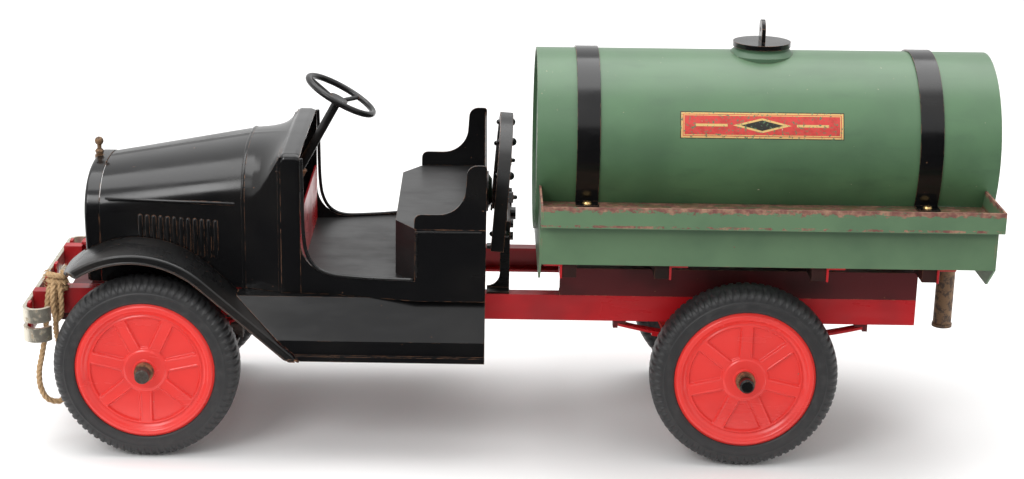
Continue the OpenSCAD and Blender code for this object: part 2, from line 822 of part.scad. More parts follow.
// Uprights inside the hoop's legs, with a foot on each rail and a cross strap
module rack_bracket() {
  leg_in = rack_half - rack_depth;
  high = rail_top + 44;
  color("black") {
    both_sides() {
      side_plate(leg_in - sheet, leg_in) polygon(concat(
        [[rack_back, rail_top], [rack_back + 14, rail_top], [rack_back + 14, rail_top + 2]],
        arc(rack_back + 14, rail_top + 10, 8, -90, -180, 6),
        [[rack_back + 6, high], [rack_back, high]]));
      block([rack_back, leg_in - sheet, rail_top], [rack_back + 14, rail_out - 1, rail_top + sheet]);
    }
    block([rack_back, -leg_in, high - 14], [rack_back + sheet, leg_in, high]);
  }
}

// Rivets and one nut on the back of the cross strap
module rack_fasteners() {
  color("black") {
    both_sides() for (z = [rail_top + 33, rail_top + 41])
      rod([rack_back - 2, 38, z], [rack_back, 38, z], 2.6);
    rod([rack_back - 4, 0, rail_top + 37], [rack_back, 0, rail_top + 37], 4);
  }
}

// ---------------------------------------------------------------- bumper

module bumper_bar() {
  block([bumper_x - bar_t, -bar_half, 0], [bumper_x, bar_half, bar_h]);
  both_sides() translate([bumper_x - curl_r, bar_half, 0]) rotate_extrude(angle = 170)
    translate([curl_r - bar_t, 0]) square([bar_t, bar_h]);
}

module bumper_bars() {
  color("lightgray") for (z = bar_z) translate([0, 0, z]) bumper_bar();
}

module bumper_clamps() {
  low = bar_z[0] - 1;
  high = bar_z[1] + bar_h + 1;
  color("firebrick") {
    for (y = clamp_y) block([bumper_x - bar_t - 2, y - 3, low], [bumper_x - bar_t, y + 3, high]);
    both_sides()
      block([rail_front, rail_out - rail_flange, rail_z], [bumper_x - bar_t, rail_out - 1, rail_top - 3]);
  }
}

// ---------------------------------------------------------------- tank

module along_x(x) {
  translate([x, 0, tank_z]) rotate([0, 90, 0]) children();
}

module tank_shell() {
  color("seagreen") difference() {
    along_x(tank_rear) cylinder(h = tank_len, r = tank_r, $fn = 128);
    along_x(tank_rear - 1) cylinder(h = tank_len + 2, r = tank_r - sheet, $fn = 128);
    translate([filler_x, 0, tank_z]) cylinder(h = tank_r + 10, r = neck_r);
    translate([pipe_x, 0, tank_z - tank_r - 2]) cylinder(h = 10, r = pipe_r);
  }
}

// Pressed ends, set a little way into the shell
module tank_ends() {
  deep = 2.4;
  color("seagreen") {
    along_x(tank_rear + deep) cylinder(h = sheet, r = tank_r - sheet, $fn = 128);
    along_x(tank_front - deep - sheet) cylinder(h = sheet, r = tank_r - sheet, $fn = 128);
  }
}

// Flared neck; its foot is cut to the tank's curve
module filler_neck() {
  flare = 20.5;
  color("seagreen") difference() {
    translate([filler_x, 0, 0]) rotate_extrude($fn = 96) polygon([
      [neck_r - 1.4, tank_z + tank_r - 9], [neck_r, tank_z + tank_r - 9], [flare, tank_z + tank_r - 4],
      [flare, tank_z + tank_r - 1.2], [neck_r + 1.4, neck_z - 1], [neck_r + 1, neck_z],
      [neck_r - 1.4, neck_z]]);
    along_x(filler_x - 40) cylinder(h = 80, r = tank_r, $fn = 128);
  }
}

module filler_cap() {
  top = neck_z + 3;
  blade_h = 13.5;
  color("black") translate([filler_x, 0, 0]) {
    translate([0, 0, neck_z]) cylinder(h = 3, r = cap_d / 2);
    difference() {
      translate([0, 0, neck_z - 6]) cylinder(h = 6, r = neck_r - 1.4 - 0.1);
      translate([0, 0, neck_z - 7]) cylinder(h = 6, r = neck_r - 3);
    }
    difference() {
      union() {
        block([-1.2, -7, top], [1.2, 7, top + blade_h - 5]);
        translate([-1.2, 0, top + blade_h - 7]) rotate([0, 90, 0]) cylinder(h = 2.4, r = 7);
      }
      translate([-2, 0, top + blade_h - 6]) rotate([0, 90, 0]) cylinder(h = 4, r = 1.6);
    }
  }
}

function strap_in() = sqrt(pow(tank_r + touch, 2) - pow(tank_z - trough_z, 2));

module tank_straps() {
  color("black") for (x = strap_x) {
    difference() {
      along_x(x - strap_w / 2) cylinder(h = strap_w, r = tank_r + touch + strap_t, $fn = 128);
      along_x(x - strap_w) cylinder(h = 2 * strap_w, r = tank_r + touch, $fn = 128);
      block([x - strap_w, -tank_d, 0], [x + strap_w, tank_d, trough_z]);
    }
    both_sides() difference() {
      block([x - strap_w / 2, strap_in() + 0.3, trough_z],
            [x + strap_w / 2, strap_in() + strap_foot, trough_z + strap_t]);
      translate([x, strap_in() + strap_foot - 5, trough_z - 1]) cylinder(h = 4, r = 1.6);
    }
  }
}

module strap_rivets() {
  color("goldenrod") for (x = strap_x) both_sides()
    translate([x, strap_in() + strap_foot - 5, trough_z - sheet - 1]) {
      cylinder(h = sheet + strap_t + 1, r = 1.6);
      translate([0, 0, sheet + strap_t + 1]) cylinder(h = 1.2, r1 = 3, r2 = 2);
      translate([0, 0, -1]) cylinder(h = 1, r = 2.6);
    }
}

// ---------------------------------------------------------------- bed

module bed_side() {
  in = strap_in() + touch;
  x0 = bed_rear + sheet;
  x1 = bed_front - sheet;
  color("seagreen") difference() {
    union() {
      block([x0, in, trough_z - sheet], [x1, bed_half, trough_z]);
      block([x0, bed_half - sheet, trough_z - sheet], [x1, bed_half, trough_z + lip_h]);
      block([x0, skirt_half - sheet, skirt_z], [x1, skirt_half, trough_z - sheet]);
      block([x0, skirt_half - 10, skirt_z], [x1, skirt_half, skirt_z + sheet]);
    }
    for (x = strap_x) translate([x, strap_in() + strap_foot - 5, trough_z - 5]) cylinder(h = 10, r = 1.6);
  }
}

module bed_sides() { both_sides() bed_side(); }

module bed_end(x) {
  difference() {
    both_sides() cross_plate(x, x + sheet) polygon(end_half);
    along_x(x - 2) cylinder(h = 2 * sheet + 4, r = tank_r + touch, $fn = 128);
  }
}

module bed_ends() {
  color("seagreen") {
    bed_end(bed_rear);
    bed_end(bed_front - sheet);
  }
}

// Cross channels between the upper rails and the bed, each with a saddle for the tank
module bolsters() {
  color("darkolivegreen") for (x = bolster_x) difference() {
    block([x - bolster_w / 2, -skirt_half + 2, subrail_top], [x + bolster_w / 2, skirt_half - 2, skirt_z]);
    block([x - bolster_w / 2 + 1.6, -bed_w, subrail_top - 1], [x + bolster_w / 2 - 1.6, bed_w, skirt_z - 3.2]);
    along_x(x - bolster_w) cylinder(h = 2 * bolster_w, r = tank_r + touch, $fn = 128);
  }
}

module drain_pipe() {
  color("peru") difference() {
    translate([pipe_x, 0, pipe_low]) union() {
      cylinder(h = tank_z - tank_r + 2 - pipe_low, r = pipe_r);
      cylinder(h = 2, r = pipe_r + 0.6);
    }
    translate([pipe_x, 0, pipe_low - 1]) cylinder(h = 200, r = pipe_r - 1);
  }
}

// ---------------------------------------------------------------- tow rope

// Smooth curve through the rope's points, six steps from each to the next
function spline(p, i, t) = let (
  a = p[max(i - 1, 0)], b = p[i], c = p[i + 1], d = p[min(i + 2, len(p) - 1)])
  0.5 * (2 * b + (c - a) * t + (2 * a - 5 * b + 4 * c - d) * t * t
    + (3 * b - a - 3 * c + d) * t * t * t);
function route(p, steps) = concat(
  [for (i = [0:len(p) - 2], s = [0:steps - 1]) spline(p, i, s / steps)], [p[len(p) - 1]]);
function unit(v) = v / norm(v);
function tangent(p, i) = unit(p[min(i + 1, len(p) - 1)] - p[max(i - 1, 0)]);
function ring(p, i, r, n) = let (
  t = tangent(p, i), u = unit(cross(t, [0.3, 1, 0.1])), v = cross(t, u))
  [for (k = [0:n - 1]) p[i] + r * (cos(360 * k / n) * u + sin(360 * k / n) * v)];

module tube(points, r, n) {
  count = len(points);
  rings = [for (i = [0:count - 1]) each ring(points, i, r, n)];
  sides = [for (i = [0:count - 2], k = [0:n - 1])
    [i * n + k, (i + 1) * n + k, (i + 1) * n + (k + 1) % n, i * n + (k + 1) % n]];
  polyhedron(points = rings, faces = concat(
    sides, [[for (k = [0:n - 1]) k]], [[for (k = [n - 1:-1:0]) (count - 1) * n + k]]), convexity = 6);
}

module tow_rope() {
  color("tan") tube(route([for (q = rope) q + [x_front - 220.5, 0, 0]], 2), rope_d / 2, rope_sides);
}

// Knot on the front end of the left rail, with the turn that ties it round the rail
module rope_knot() {
  x0 = rail_front - 4.7;
  color("tan") {
    translate(knot + [x_front - 220.5, 0, rail_top - 99]) sphere(r = 6);
    difference() {
      block([x0, rail_out - rail_flange - rope_d / 2, rail_z - rope_d / 2],
            [x0 + rope_d, rail_out + rope_d / 2, rail_top + rope_d / 2]);
      block([x0 - 1, rail_out - rail_flange, rail_z], [x0 + rope_d + 1, rail_out, rail_top]);
    }
  }
}

// ---------------------------------------------------------------- nodes

rail_left();
rail_right();
subrails();
cross_members();
front_axle_beam();
kingpins();
rear_axle();
rear_axle_caps();
springs_front();
springs_rear();
spring_mounts();
fender_left();
fender_right();
running_boards();
radiator_shell();
radiator_core();
radiator_cap();
hood();
cowl();
cab_body();
floor_pan();
toe_board();
column_bracket();
seat_box();
seat_back();
seat_boss();
rack_hoop();
rack_bracket();
rack_fasteners();
bumper_bars();
bumper_clamps();
tank_shell();
tank_ends();
filler_neck();
tank_straps();
strap_rivets();
bed_sides();
bed_ends();
bolsters();
drain_pipe();
tow_rope();
rope_knot();
filler_cap();
steering_wheel();
steering_column();
tie_rod();
knuckle_left();
knuckle_right();
disc_front_left();
disc_front_right();
disc_rear_left();
disc_rear_right();
tyre_front_left();
tyre_front_right();
tyre_rear_left();
tyre_rear_right();
bush_front_left();
bush_front_right();
bush_rear_left();
bush_rear_right();
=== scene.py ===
# %% [markdown]
# # A pressed-steel toy tanker truck
# The truck is built from painted sheet: a riveted chassis, an open cab and a round tank on
# a trough-sided bed. The frame holds every piece at its true size and place. This lesson adds
# what the frame leaves plain: pressed wheels, treaded tyres, a louvred hood, a twisted rope,
# and paint that has been played with for years.

# %% The frame
import math
import random

import bpy
from mathutils import Matrix, Vector


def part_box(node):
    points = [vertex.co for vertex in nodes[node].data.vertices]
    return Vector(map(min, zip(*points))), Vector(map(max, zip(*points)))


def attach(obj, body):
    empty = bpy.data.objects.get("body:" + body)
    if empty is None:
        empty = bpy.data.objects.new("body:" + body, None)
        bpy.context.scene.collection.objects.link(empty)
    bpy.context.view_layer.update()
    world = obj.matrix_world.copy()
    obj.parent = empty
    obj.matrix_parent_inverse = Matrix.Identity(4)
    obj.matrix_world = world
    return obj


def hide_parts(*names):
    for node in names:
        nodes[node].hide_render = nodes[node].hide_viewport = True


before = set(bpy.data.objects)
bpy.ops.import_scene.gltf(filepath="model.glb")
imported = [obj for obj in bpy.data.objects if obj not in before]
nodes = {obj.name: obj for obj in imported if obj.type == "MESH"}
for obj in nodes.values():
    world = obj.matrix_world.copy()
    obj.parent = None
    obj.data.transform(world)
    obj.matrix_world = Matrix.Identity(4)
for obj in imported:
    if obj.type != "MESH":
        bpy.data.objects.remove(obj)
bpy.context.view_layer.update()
MM = 0.001


def middle(node):
    """The middle of a frame node's box."""
    low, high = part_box(node)
    return (low + high) / 2


# %% [markdown]
# ## Camera
# A toy is photographed from a low stool in front of its left side, with a long lens, so that
# its upright edges stay nearly parallel. The camera therefore looks down by less than twenty
# degrees, and a small shift centres the truck without tilting it.

# %% Camera
camera_data = bpy.data.cameras.new("camera")
camera_data.sensor_width = 36
camera_data.lens = 71.87
camera_data.shift_x = 0.0731
camera_data.shift_y = 0.04
camera_data.clip_end = 20
camera = bpy.data.objects.new("camera", camera_data)
bpy.context.scene.collection.objects.link(camera)
bpy.context.scene.camera = camera
pitch, yaw, roll = (math.radians(a) for a in (17.591, 1.178, 0.489))
level_ahead = Vector((math.sin(yaw), -math.cos(yaw), 0))
ahead = level_ahead * math.cos(pitch) - Vector((0, 0, math.sin(pitch)))
level_right = ahead.cross(Vector((0, 0, 1))).normalized()
level_up = level_right.cross(ahead)
right = level_right * math.cos(roll) + level_up * math.sin(roll)
up = level_up * math.cos(roll) - level_right * math.sin(roll)
turn = Matrix((right, up, -ahead)).transposed().to_4x4()
camera.matrix_world = Matrix.Translation((0.0175, 1.2626, 0.4904)) @ turn
print("camera stands", round(camera.location.length, 2), "m from the origin")

# %% [markdown]
# ## Rope route
# The rope is a fixed length tied round the front end of the left rail. It drops in one long
# loop behind the tyre, comes back to the knot and hangs once more in a short fold. Its points
# are listed one by one, and a smooth curve joins them.

# %% Rope route
ROPE_POINTS = [
    (282.8, 54.6, 102.6), (283.5, 59, 98.5), (284.5, 61, 90), (285.5, 61.5, 80), (287, 61.5, 69),
    (289.5, 61, 57), (292, 60, 46), (292, 59, 35), (288.5, 57, 26), (281.5, 53.5, 23),
    (276.8, 49.5, 27), (276.5, 46.5, 36), (278.5, 47, 47), (280.5, 50, 59), (281.3, 54, 69),
    (280.5, 58, 77), (279.6, 59, 86), (279.8, 59, 95), (279.2, 57.5, 101), (277, 58.5, 102),
    (276, 60.6, 96), (275.8, 61, 89), (276.4, 61, 83.5), (278.2, 62.8, 81), (279.8, 64, 85),
    (280.6, 63.5, 93), (280.6, 61.5, 100), (280.2, 58.5, 105), (280, 55.2, 106.5),
]
ROPE_DIAMETER = 3.8 * MM


def smooth_route(points, steps):
    """A curve through the points, with that many steps from each point to the next."""
    route = []
    last = len(points) - 1
    for i in range(last):
        a, b, c, d = (points[max(i - 1, 0)], points[i], points[i + 1], points[min(i + 2, last)])
        for step in range(steps):
            t = step / steps
            route.append(0.5 * (2 * b + (c - a) * t + (2 * a - 5 * b + 4 * c - d) * t * t
                                + (3 * b - a - 3 * c + d) * t ** 3))
    return route + [points[last]]


rope_route = smooth_route([Vector(p) * MM for p in ROPE_POINTS], 12)
rope_length = sum((b - a).length for a, b in zip(rope_route, rope_route[1:]))
print("rope length", round(rope_length, 3), "m")

# %% [markdown]
# ## Materials as expressions
# A worn paint is a sum of simple patterns: clouds, specks and worn edges. Written as Python
# expressions these are easy to read, so one small class wraps a socket and adds a Math node
# for each plus, minus and times. Every other node comes from one method.

# %% A socket that can be added and multiplied
class Field:
    """A number or a colour that varies over a surface."""

    def __init__(self, finish, socket):
        self.finish = finish
        self.socket = socket

    def __add__(self, other):
        return self.finish.maths("ADD", self, other)

    __radd__ = __add__

    def __sub__(self, other):
        return self.finish.maths("SUBTRACT", self, other)

    def __rsub__(self, other):
        return self.finish.maths("SUBTRACT", other, self)

    def __mul__(self, other):
        return self.finish.maths("MULTIPLY", self, other)

    __rmul__ = __mul__


# %% The maker of a finish
class Finish:
    """A material and the nodes that make it."""

    def __init__(self, name):
        self.material = bpy.data.materials.new(name)
        self.material.use_nodes = True
        self.tree = self.material.node_tree
        self.tree.nodes.clear()
        self.place = self.node("ShaderNodeTexCoord", out="Object")

    def node(self, kind, settings=None, sockets=None, out=0):
        """A node of that kind: its settings first, then its sockets. Gives one of its outputs."""
        made = self.tree.nodes.new(kind)
        for key, value in (settings or {}).items():
            setattr(made, key, value)
        for key, value in (sockets or {}).items():
            if isinstance(value, Field):
                self.tree.links.new(value.socket, made.inputs[key])
            else:
                made.inputs[key].default_value = value
        return Field(self, made.outputs[out]) if made.outputs else None

    def maths(self, operation, first, second=0.0):
        return self.node("ShaderNodeMath", {"operation": operation}, {0: first, 1: second})

    def least(self, first, second):
        return self.maths("MINIMUM", first, second)

    def most(self, first, second):
        return self.maths("MAXIMUM", first, second)

    def rise(self, value, low, high):
        """0 below low, 1 above high, and a smooth step between."""
        return self.node("ShaderNodeMapRange", {"interpolation_type": "SMOOTHSTEP", "clamp": True},
                         {0: value, 1: low, 2: high, 3: 0.0, 4: 1.0})

    def band(self, value, low, high, soft):
        """1 from low to high, and 0 outside."""
        return self.rise(value, low - soft, low) * (1 - self.rise(value, high, high + soft))

    def noise(self, size, detail=3.0, roughness=0.5, stretch=(1, 1, 1)):
        """Cloudy noise whose patches are about size millimetres across."""
        place = self.node("ShaderNodeVectorMath", {"operation": "MULTIPLY"}, {0: self.place, 1: stretch})
        return self.node("ShaderNodeTexNoise", {}, {"Vector": place, "Scale": 1 / (size * MM),
                                                    "Detail": detail, "Roughness": roughness}, "Fac")

    def mix(self, factor, first, second):
        """A colour that goes from the first to the second as factor goes from 0 to 1."""
        def colour(value):
            return value if isinstance(value, Field) else (*value, 1.0)
        return self.node("ShaderNodeMix", {"data_type": "RGBA"},
                         {0: factor, 6: colour(first), 7: colour(second)}, 2)

    def axes(self):
        """The place on the surface as three numbers, in metres."""
        split = self.node("ShaderNodeSeparateXYZ", {}, {0: self.place}).socket.node
        return [Field(self, split.outputs[i]) for i in range(3)]

    def rounded(self, radius):
        """The normal as if each edge had that radius, in millimetres."""
        return self.node("ShaderNodeBevel", {"samples": 4}, {"Radius": radius * MM})

    def edges(self, radius):
        """Rises from 0 on flat sheet towards 1 at a sharp edge."""
        true_normal = self.node("ShaderNodeNewGeometry", out="Normal")
        likeness = self.node("ShaderNodeVectorMath", {"operation": "DOT_PRODUCT"},
                             {0: self.rounded(radius), 1: true_normal}, "Value")
        return self.rise(1 - likeness, 0.01, 0.25)

    def surface(self, colour, roughness, metallic=0.0, height=None, depth=0.1, round_edges=0.35,
                specular=0.5):
        """Closes the finish: a painted or bare surface with a bump of that depth in millimetres."""
        normal = self.rounded(round_edges) if round_edges else None
        if height is not None:
            sockets = {"Height": height, "Distance": depth * MM, "Strength": 1.0}
            if normal is not None:
                sockets["Normal"] = normal
            normal = self.node("ShaderNodeBump", {}, sockets)
        sockets = {"Base Color": colour if isinstance(colour, Field) else (*colour, 1.0),
                   "Roughness": roughness, "Metallic": metallic, "Specular IOR Level": specular}
        if normal is not None:
            sockets["Normal"] = normal
        shader = self.node("ShaderNodeBsdfPrincipled", {}, sockets)
        self.node("ShaderNodeOutputMaterial", {}, {"Surface": shader})
        return self.material


# %% [markdown]
# ## Enamel
# Baked enamel is smooth and glossy. On an old toy it is worn through to brown steel along
# edges, chipped in small specks, and dulled in clouds where hands and shelves have rubbed it.
# All the painted pieces share one recipe, and only the colours and the amounts differ.

# %% Enamel recipe
RUST = (0.16, 0.065, 0.03)
RUST_LIGHT = (0.34, 0.16, 0.08)


def enamel(name, colour, deep, wear=0.5, specks=0.5, gloss=0.22, specular=0.5, haze=0.1,
           worn=(RUST, RUST_LIGHT)):
    """Enamel of that colour, going to the deep colour in clouds, with worn edges and specks."""
    f = Finish(name)
    cloud = f.noise(45, 3, 0.5)
    smear = f.noise(12, 4, 0.6, (0.35, 0.6, 1.6))
    grain = f.noise(0.6, 3, 0.6)
    patch = f.noise(5, 5, 0.7)
    edge = f.edges(0.7)
    worn_edge = f.rise(edge * (0.35 + patch), 1.02 - 0.5 * wear, 1.12 - 0.5 * wear)
    speck = f.rise(f.noise(2.2, 2, 0.5), 0.79 - 0.07 * specks, 0.81 - 0.07 * specks)
    bare = f.most(worn_edge, speck)
    paint = f.mix(f.rise(cloud, 0.4, 0.7), colour, deep)
    metal = f.mix(f.rise(patch, 0.4, 0.65), worn[0], worn[1])
    colour_all = f.mix(bare, paint, metal)
    dulled = f.rise(smear, 0.42, 0.7)
    roughness = gloss + haze * dulled + haze * f.rise(cloud, 0.4, 0.7) + 0.3 * bare
    height = 0.05 * grain - 0.8 * bare + 0.35 * cloud
    return f.surface(colour_all, roughness, height=height, depth=0.1, specular=specular)


GREEN_WORN = ((0.17, 0.07, 0.05), (0.36, 0.33, 0.24))
black = enamel("black_enamel", (0.0045, 0.0045, 0.005), (0.0075, 0.007, 0.0068),
               wear=0.5, specks=0.15, gloss=0.16, specular=0.5, haze=0.07)
black_worn = enamel("black_enamel_worn", (0.007, 0.007, 0.0072), (0.014, 0.012, 0.011),
                    wear=1.0, specks=0.7, gloss=0.25, specular=0.5, haze=0.12)
black_satin = enamel("black_enamel_satin", (0.009, 0.009, 0.009), (0.014, 0.013, 0.013),
                     wear=0.4, specks=0.3, gloss=0.36, specular=0.6, haze=0.1)
green = enamel("green_enamel", (0.062, 0.128, 0.070), (0.045, 0.098, 0.055),
               wear=0.45, specks=0.35, gloss=0.34, specular=0.45, haze=0.1, worn=GREEN_WORN)
chassis_red = enamel("chassis_red", (0.438, 0.007, 0.011), (0.284, 0.006, 0.009),
                     wear=0.25, specks=0.15, gloss=0.27, specular=0.4, haze=0.1)
# A darker copy of the chassis red for the subrails, cross members and spring mounts beneath: painted shade.
chassis_dark = enamel("chassis_dark", (0.10, 0.01, 0.012), (0.05, 0.008, 0.008),
                      wear=0.4, specks=0.4, gloss=0.4, specular=0.3, haze=0.1)
shadow_red = enamel("shadow_red", (0.05, 0.012, 0.01), (0.012, 0.008, 0.006),
                    wear=0.5, specks=0.5, gloss=0.5, specular=0.2, haze=0.1)
wheel_red = enamel("wheel_red", (0.725, 0.039, 0.032), (0.643, 0.032, 0.027),
                   wear=0.0, specks=0.0, gloss=0.22, specular=0.6, haze=0.05)
print("enamels:", [m.name for m in bpy.data.materials if "enamel" in m.name])

# %% [markdown]
# ## Bare metals, rubber and rope
# Plated brass tarnishes to cream and brown, steel goes brown, and hard rubber stays a dull
# charcoal with paler dust on it.

# %% Metals
def metal(name, bright, dull, roughness, tarnish=0.5, metallic=0.9):
    """Bare metal with tarnish in patches."""
    f = Finish(name)
    patch = f.rise(f.noise(4, 6, 0.7), 0.62 - 0.3 * tarnish, 0.78 - 0.3 * tarnish)
    streak = f.noise(3, 4, 0.6, (1, 1, 0.15))
    colour = f.mix(f.most(patch, f.edges(0.5) * 0.6), bright, dull)
    return f.surface(colour, roughness + 0.3 * patch + 0.1 * streak, metallic - 0.55 * patch,
                     f.noise(0.8, 3) + 0.5 * patch, 0.08)


nickel = metal("nickel", (0.66, 0.62, 0.52), (0.35, 0.27, 0.17), 0.28, 0.35)
brass = metal("rivet_brass", (0.78, 0.52, 0.22), (0.30, 0.17, 0.07), 0.2, 0.3)
old_brass = metal("old_brass", (0.22, 0.13, 0.07), (0.06, 0.04, 0.03), 0.45, 0.6, 0.5)
rusty = metal("rusty_steel", (0.30, 0.13, 0.06), (0.10, 0.045, 0.025), 0.6, 0.6, 0.2)
steel = metal("dark_steel", (0.10, 0.09, 0.08), (0.045, 0.03, 0.022), 0.45, 0.5, 0.7)
core_grey = metal("core_grey", (0.10, 0.10, 0.10), (0.03, 0.03, 0.03), 0.55, 0.5, 0.3)


# %% Rubber and jute
def rubber(name):
    f = Finish(name)
    dust = f.rise(f.noise(6, 5, 0.65), 0.45, 0.8)
    colour = f.mix(dust * 0.5, (0.026, 0.026, 0.027), (0.062, 0.060, 0.058))
    return f.surface(colour, 0.5 + 0.2 * dust, height=f.noise(0.5, 3), depth=0.06, round_edges=0.3)


def jute(name):
    f = Finish(name)
    fibre = f.noise(0.35, 4, 0.7, (1.6, 1.6, 0.5))
    shade = f.noise(6, 3)
    colour = f.mix(f.rise(fibre, 0.3, 0.7), (0.30, 0.175, 0.075), (0.66, 0.45, 0.25))
    colour = f.mix(f.rise(shade, 0.5, 0.75) * 0.4, colour, (0.20, 0.115, 0.05))
    return f.surface(colour, 0.85, height=fibre, depth=0.25, round_edges=None)


tyre_rubber = rubber("tyre_rubber")
rope_jute = jute("rope_jute")
print("metals, rubber and jute ready")

# %% [markdown]
# ## The tank's paint and its panel
# A red transfer with a gold and black double border sits on each side of the tank. It carries
# only a plain ornament here. It is painted by the tank's own material: the length along the
# tank and the angle round it say where the panel, its lines and its ornament are.

# %% Tank paint
TANK_AXIS_Z = 185.8


def tank_paint(name):
    f = Finish(name)
    x, y, z = f.axes()
    side = f.maths("ABSOLUTE", y)
    angle = f.maths("ARCTAN2", z - TANK_AXIS_Z * MM, side) * (180 / math.pi)
    along = f.maths("ABSOLUTE", x + 153.3 * MM) * (1 / MM)
    across = f.maths("ABSOLUTE", angle - 22.7)
    cloud = f.noise(40, 4, 0.55)
    patch = f.noise(5, 5, 0.7)
    smear = f.noise(10, 5, 0.65, (0.3, 1, 1))
    speck = f.rise(f.noise(2.2, 2), 0.76, 0.78)
    edge = f.rise(f.edges(0.9) * (0.35 + patch), 0.8, 0.9)
    bare = f.most(speck, edge)
    paint = f.mix(f.rise(cloud, 0.35, 0.7), (0.078, 0.170, 0.080), (0.059, 0.133, 0.063))
    paint = f.mix(f.rise(smear, 0.5, 0.75) * 0.4, paint, (0.045, 0.098, 0.052))
    # The tank is painted lighter towards its top: partly dust, partly a painted sheen of the light from
    # above.
    paint = f.mix(f.rise(z, 0.16, 0.25) * (0.25 + 0.35 * cloud), paint, (0.125, 0.19, 0.125))
    # the panel, from its edge inwards: black line, gold line, red field
    inset = f.least(49.5 - along, (8.4 - across) * 1.0)
    panel = f.rise(inset, 0.0, 0.15)
    gold_line = f.band(inset, 0.7, 1.5, 0.15)
    inner_line = f.band(inset, 2.1, 2.5, 0.12)
    lozenge = f.rise(6.0 - (along * 0.33 + across * 1.3), 0.0, 0.3)
    lozenge_in = f.rise(4.4 - (along * 0.33 + across * 1.3), 0.0, 0.3)
    bars = f.band(across, 0.0, 0.7, 0.15) * f.band(along, 21, 40, 0.3)
    worn_panel = f.rise(f.noise(1.6, 4, 0.65), 0.38, 0.44)
    red = f.mix(f.rise(patch, 0.4, 0.7), (0.58, 0.05, 0.045), (0.42, 0.035, 0.03))
    face = f.mix(f.rise(inset, 0.5, 0.62), (0.02, 0.018, 0.015), red)
    gold = (0.62, 0.42, 0.15)
    face = f.mix(f.most(gold_line, inner_line), face, gold)
    face = f.mix(lozenge, face, gold)
    face = f.mix(lozenge_in, face, (0.02, 0.018, 0.015))
    face = f.mix(bars, face, gold)
    paint = f.mix(panel * worn_panel, paint, face)
    colour = f.mix(bare, paint, f.mix(f.rise(patch, 0.4, 0.65), (0.33, 0.30, 0.2), (0.5, 0.47, 0.36)))
    roughness = 0.3 + 0.15 * smear + 0.2 * bare
    height = 0.5 * cloud + 0.08 * f.noise(0.7, 3) - 0.6 * bare
    return f.surface(colour, roughness, height=height, depth=0.12)


tank_green = tank_paint("tank_green")


# %% Bed paint, rusted along the edges of its lip and in the trough, with painted shade under the lip
def bed_paint(name):
    f = Finish(name)
    x, y, z = f.axes()
    side = f.maths("ABSOLUTE", y) * (1 / MM)
    high = z * (1 / MM)
    patch = f.noise(7, 5, 0.7)
    chips = f.noise(3.2, 5, 0.75, (0.45, 1, 1))
    cloud = f.noise(45, 4, 0.55)
    top_edge = f.rise(high, 163.5, 169.0) * 0.33
    low_edge = f.band(high, 157.5, 158.6, 0.6) * 0.22
    flaked = f.rise(chips + top_edge + low_edge, 0.71, 0.74)
    edge = f.rise(f.edges(0.9) * (0.35 + patch), 0.84, 0.94)
    speck = f.rise(f.noise(2.4, 2), 0.765, 0.785)
    bare = f.most(f.most(flaked, edge), speck)
    floor_level = f.rise(high, 156.8, 157.4) * (1 - f.rise(high, 159.5, 160.5))
    trough = floor_level * (1 - f.rise(side, 103.5, 104.2))
    paint = f.mix(f.rise(cloud, 0.35, 0.7), (0.100, 0.178, 0.094), (0.080, 0.147, 0.079))
    # Painted shade: below the lip the green is darkened to a deep green, where the lip shades the sheet.
    shade_under_lip = f.band(high, 152.0, 157.0, 4.0) * (1 - f.rise(side, 99.5, 100.5))
    paint = f.mix(shade_under_lip * 0.5, paint, (0.028, 0.062, 0.034))
    grime = f.rise(patch, 0.35, 0.62)
    paint = f.mix(trough * (0.35 + 0.65 * grime), paint, (0.135, 0.085, 0.042))
    rust = f.mix(f.rise(patch, 0.4, 0.65), (0.15, 0.055, 0.045), (0.30, 0.17, 0.11))
    colour = f.mix(bare, paint, rust)
    roughness = 0.36 + 0.12 * cloud + 0.3 * bare
    height = 0.35 * cloud - 0.7 * bare
    return f.surface(colour, roughness, height=height, depth=0.12, specular=0.4)


bed_green = bed_paint("bed_green")

# %% [markdown]
# ## Painting the frame's pieces
# Pieces whose shape the frame already has right only need their finish. A table pairs each
# finish with its pieces.

# %% Finishes for the frame's pieces
PAINTED = {
    chassis_red: ["rail_left", "rail_right", "springs_front", "springs_rear", "toe_board", "bumper_clamps"],
    chassis_dark: ["subrails", "cross_members", "spring_mounts"],
    steel: ["front_axle_beam", "kingpins", "rear_axle", "knuckle_left", "knuckle_right", "tie_rod"],
    black: ["hood", "cowl", "cab_body", "seat_back", "seat_boss", "radiator_shell", "running_boards",
            "tank_straps", "filler_cap", "rack_fasteners", "rear_axle_caps"],
    black_satin: ["floor_pan", "seat_box"],
    black_worn: ["fender_left", "fender_right", "rack_hoop", "rack_bracket", "steering_wheel",
                 "steering_column"],
    core_grey: ["radiator_core"],
    old_brass: ["radiator_cap", "drain_pipe"],
    rusty: ["column_bracket"] + [n for n in nodes if n.startswith("bush_")],
    nickel: ["bumper_bars"],
    brass: ["strap_rivets"],
    tank_green: ["tank_shell"],
    green: ["tank_ends", "filler_neck"],
    bed_green: ["bed_sides", "bed_ends"],
    shadow_red: ["bolsters"],
    wheel_red: [n for n in nodes if n.startswith("disc_")],
    tyre_rubber: [n for n in nodes if n.startswith("tyre_")],
    rope_jute: ["tow_rope", "rope_knot"],
}


def paint(piece, finish):
    piece.data.materials.clear()
    piece.data.materials.append(finish)


for finish, names in PAINTED.items():
    for name in names:
        paint(nodes[name], finish)
print("painted", sum(len(names) for names in PAINTED.values()), "of", len(nodes), "frame pieces")

# %% [markdown]
# ## Modelling helpers
# A turned shape starts as a line of edges, drawn by extruding one point along its profile, and
# is then spun about its axis. Deselecting everything first keeps each operator on its own piece.

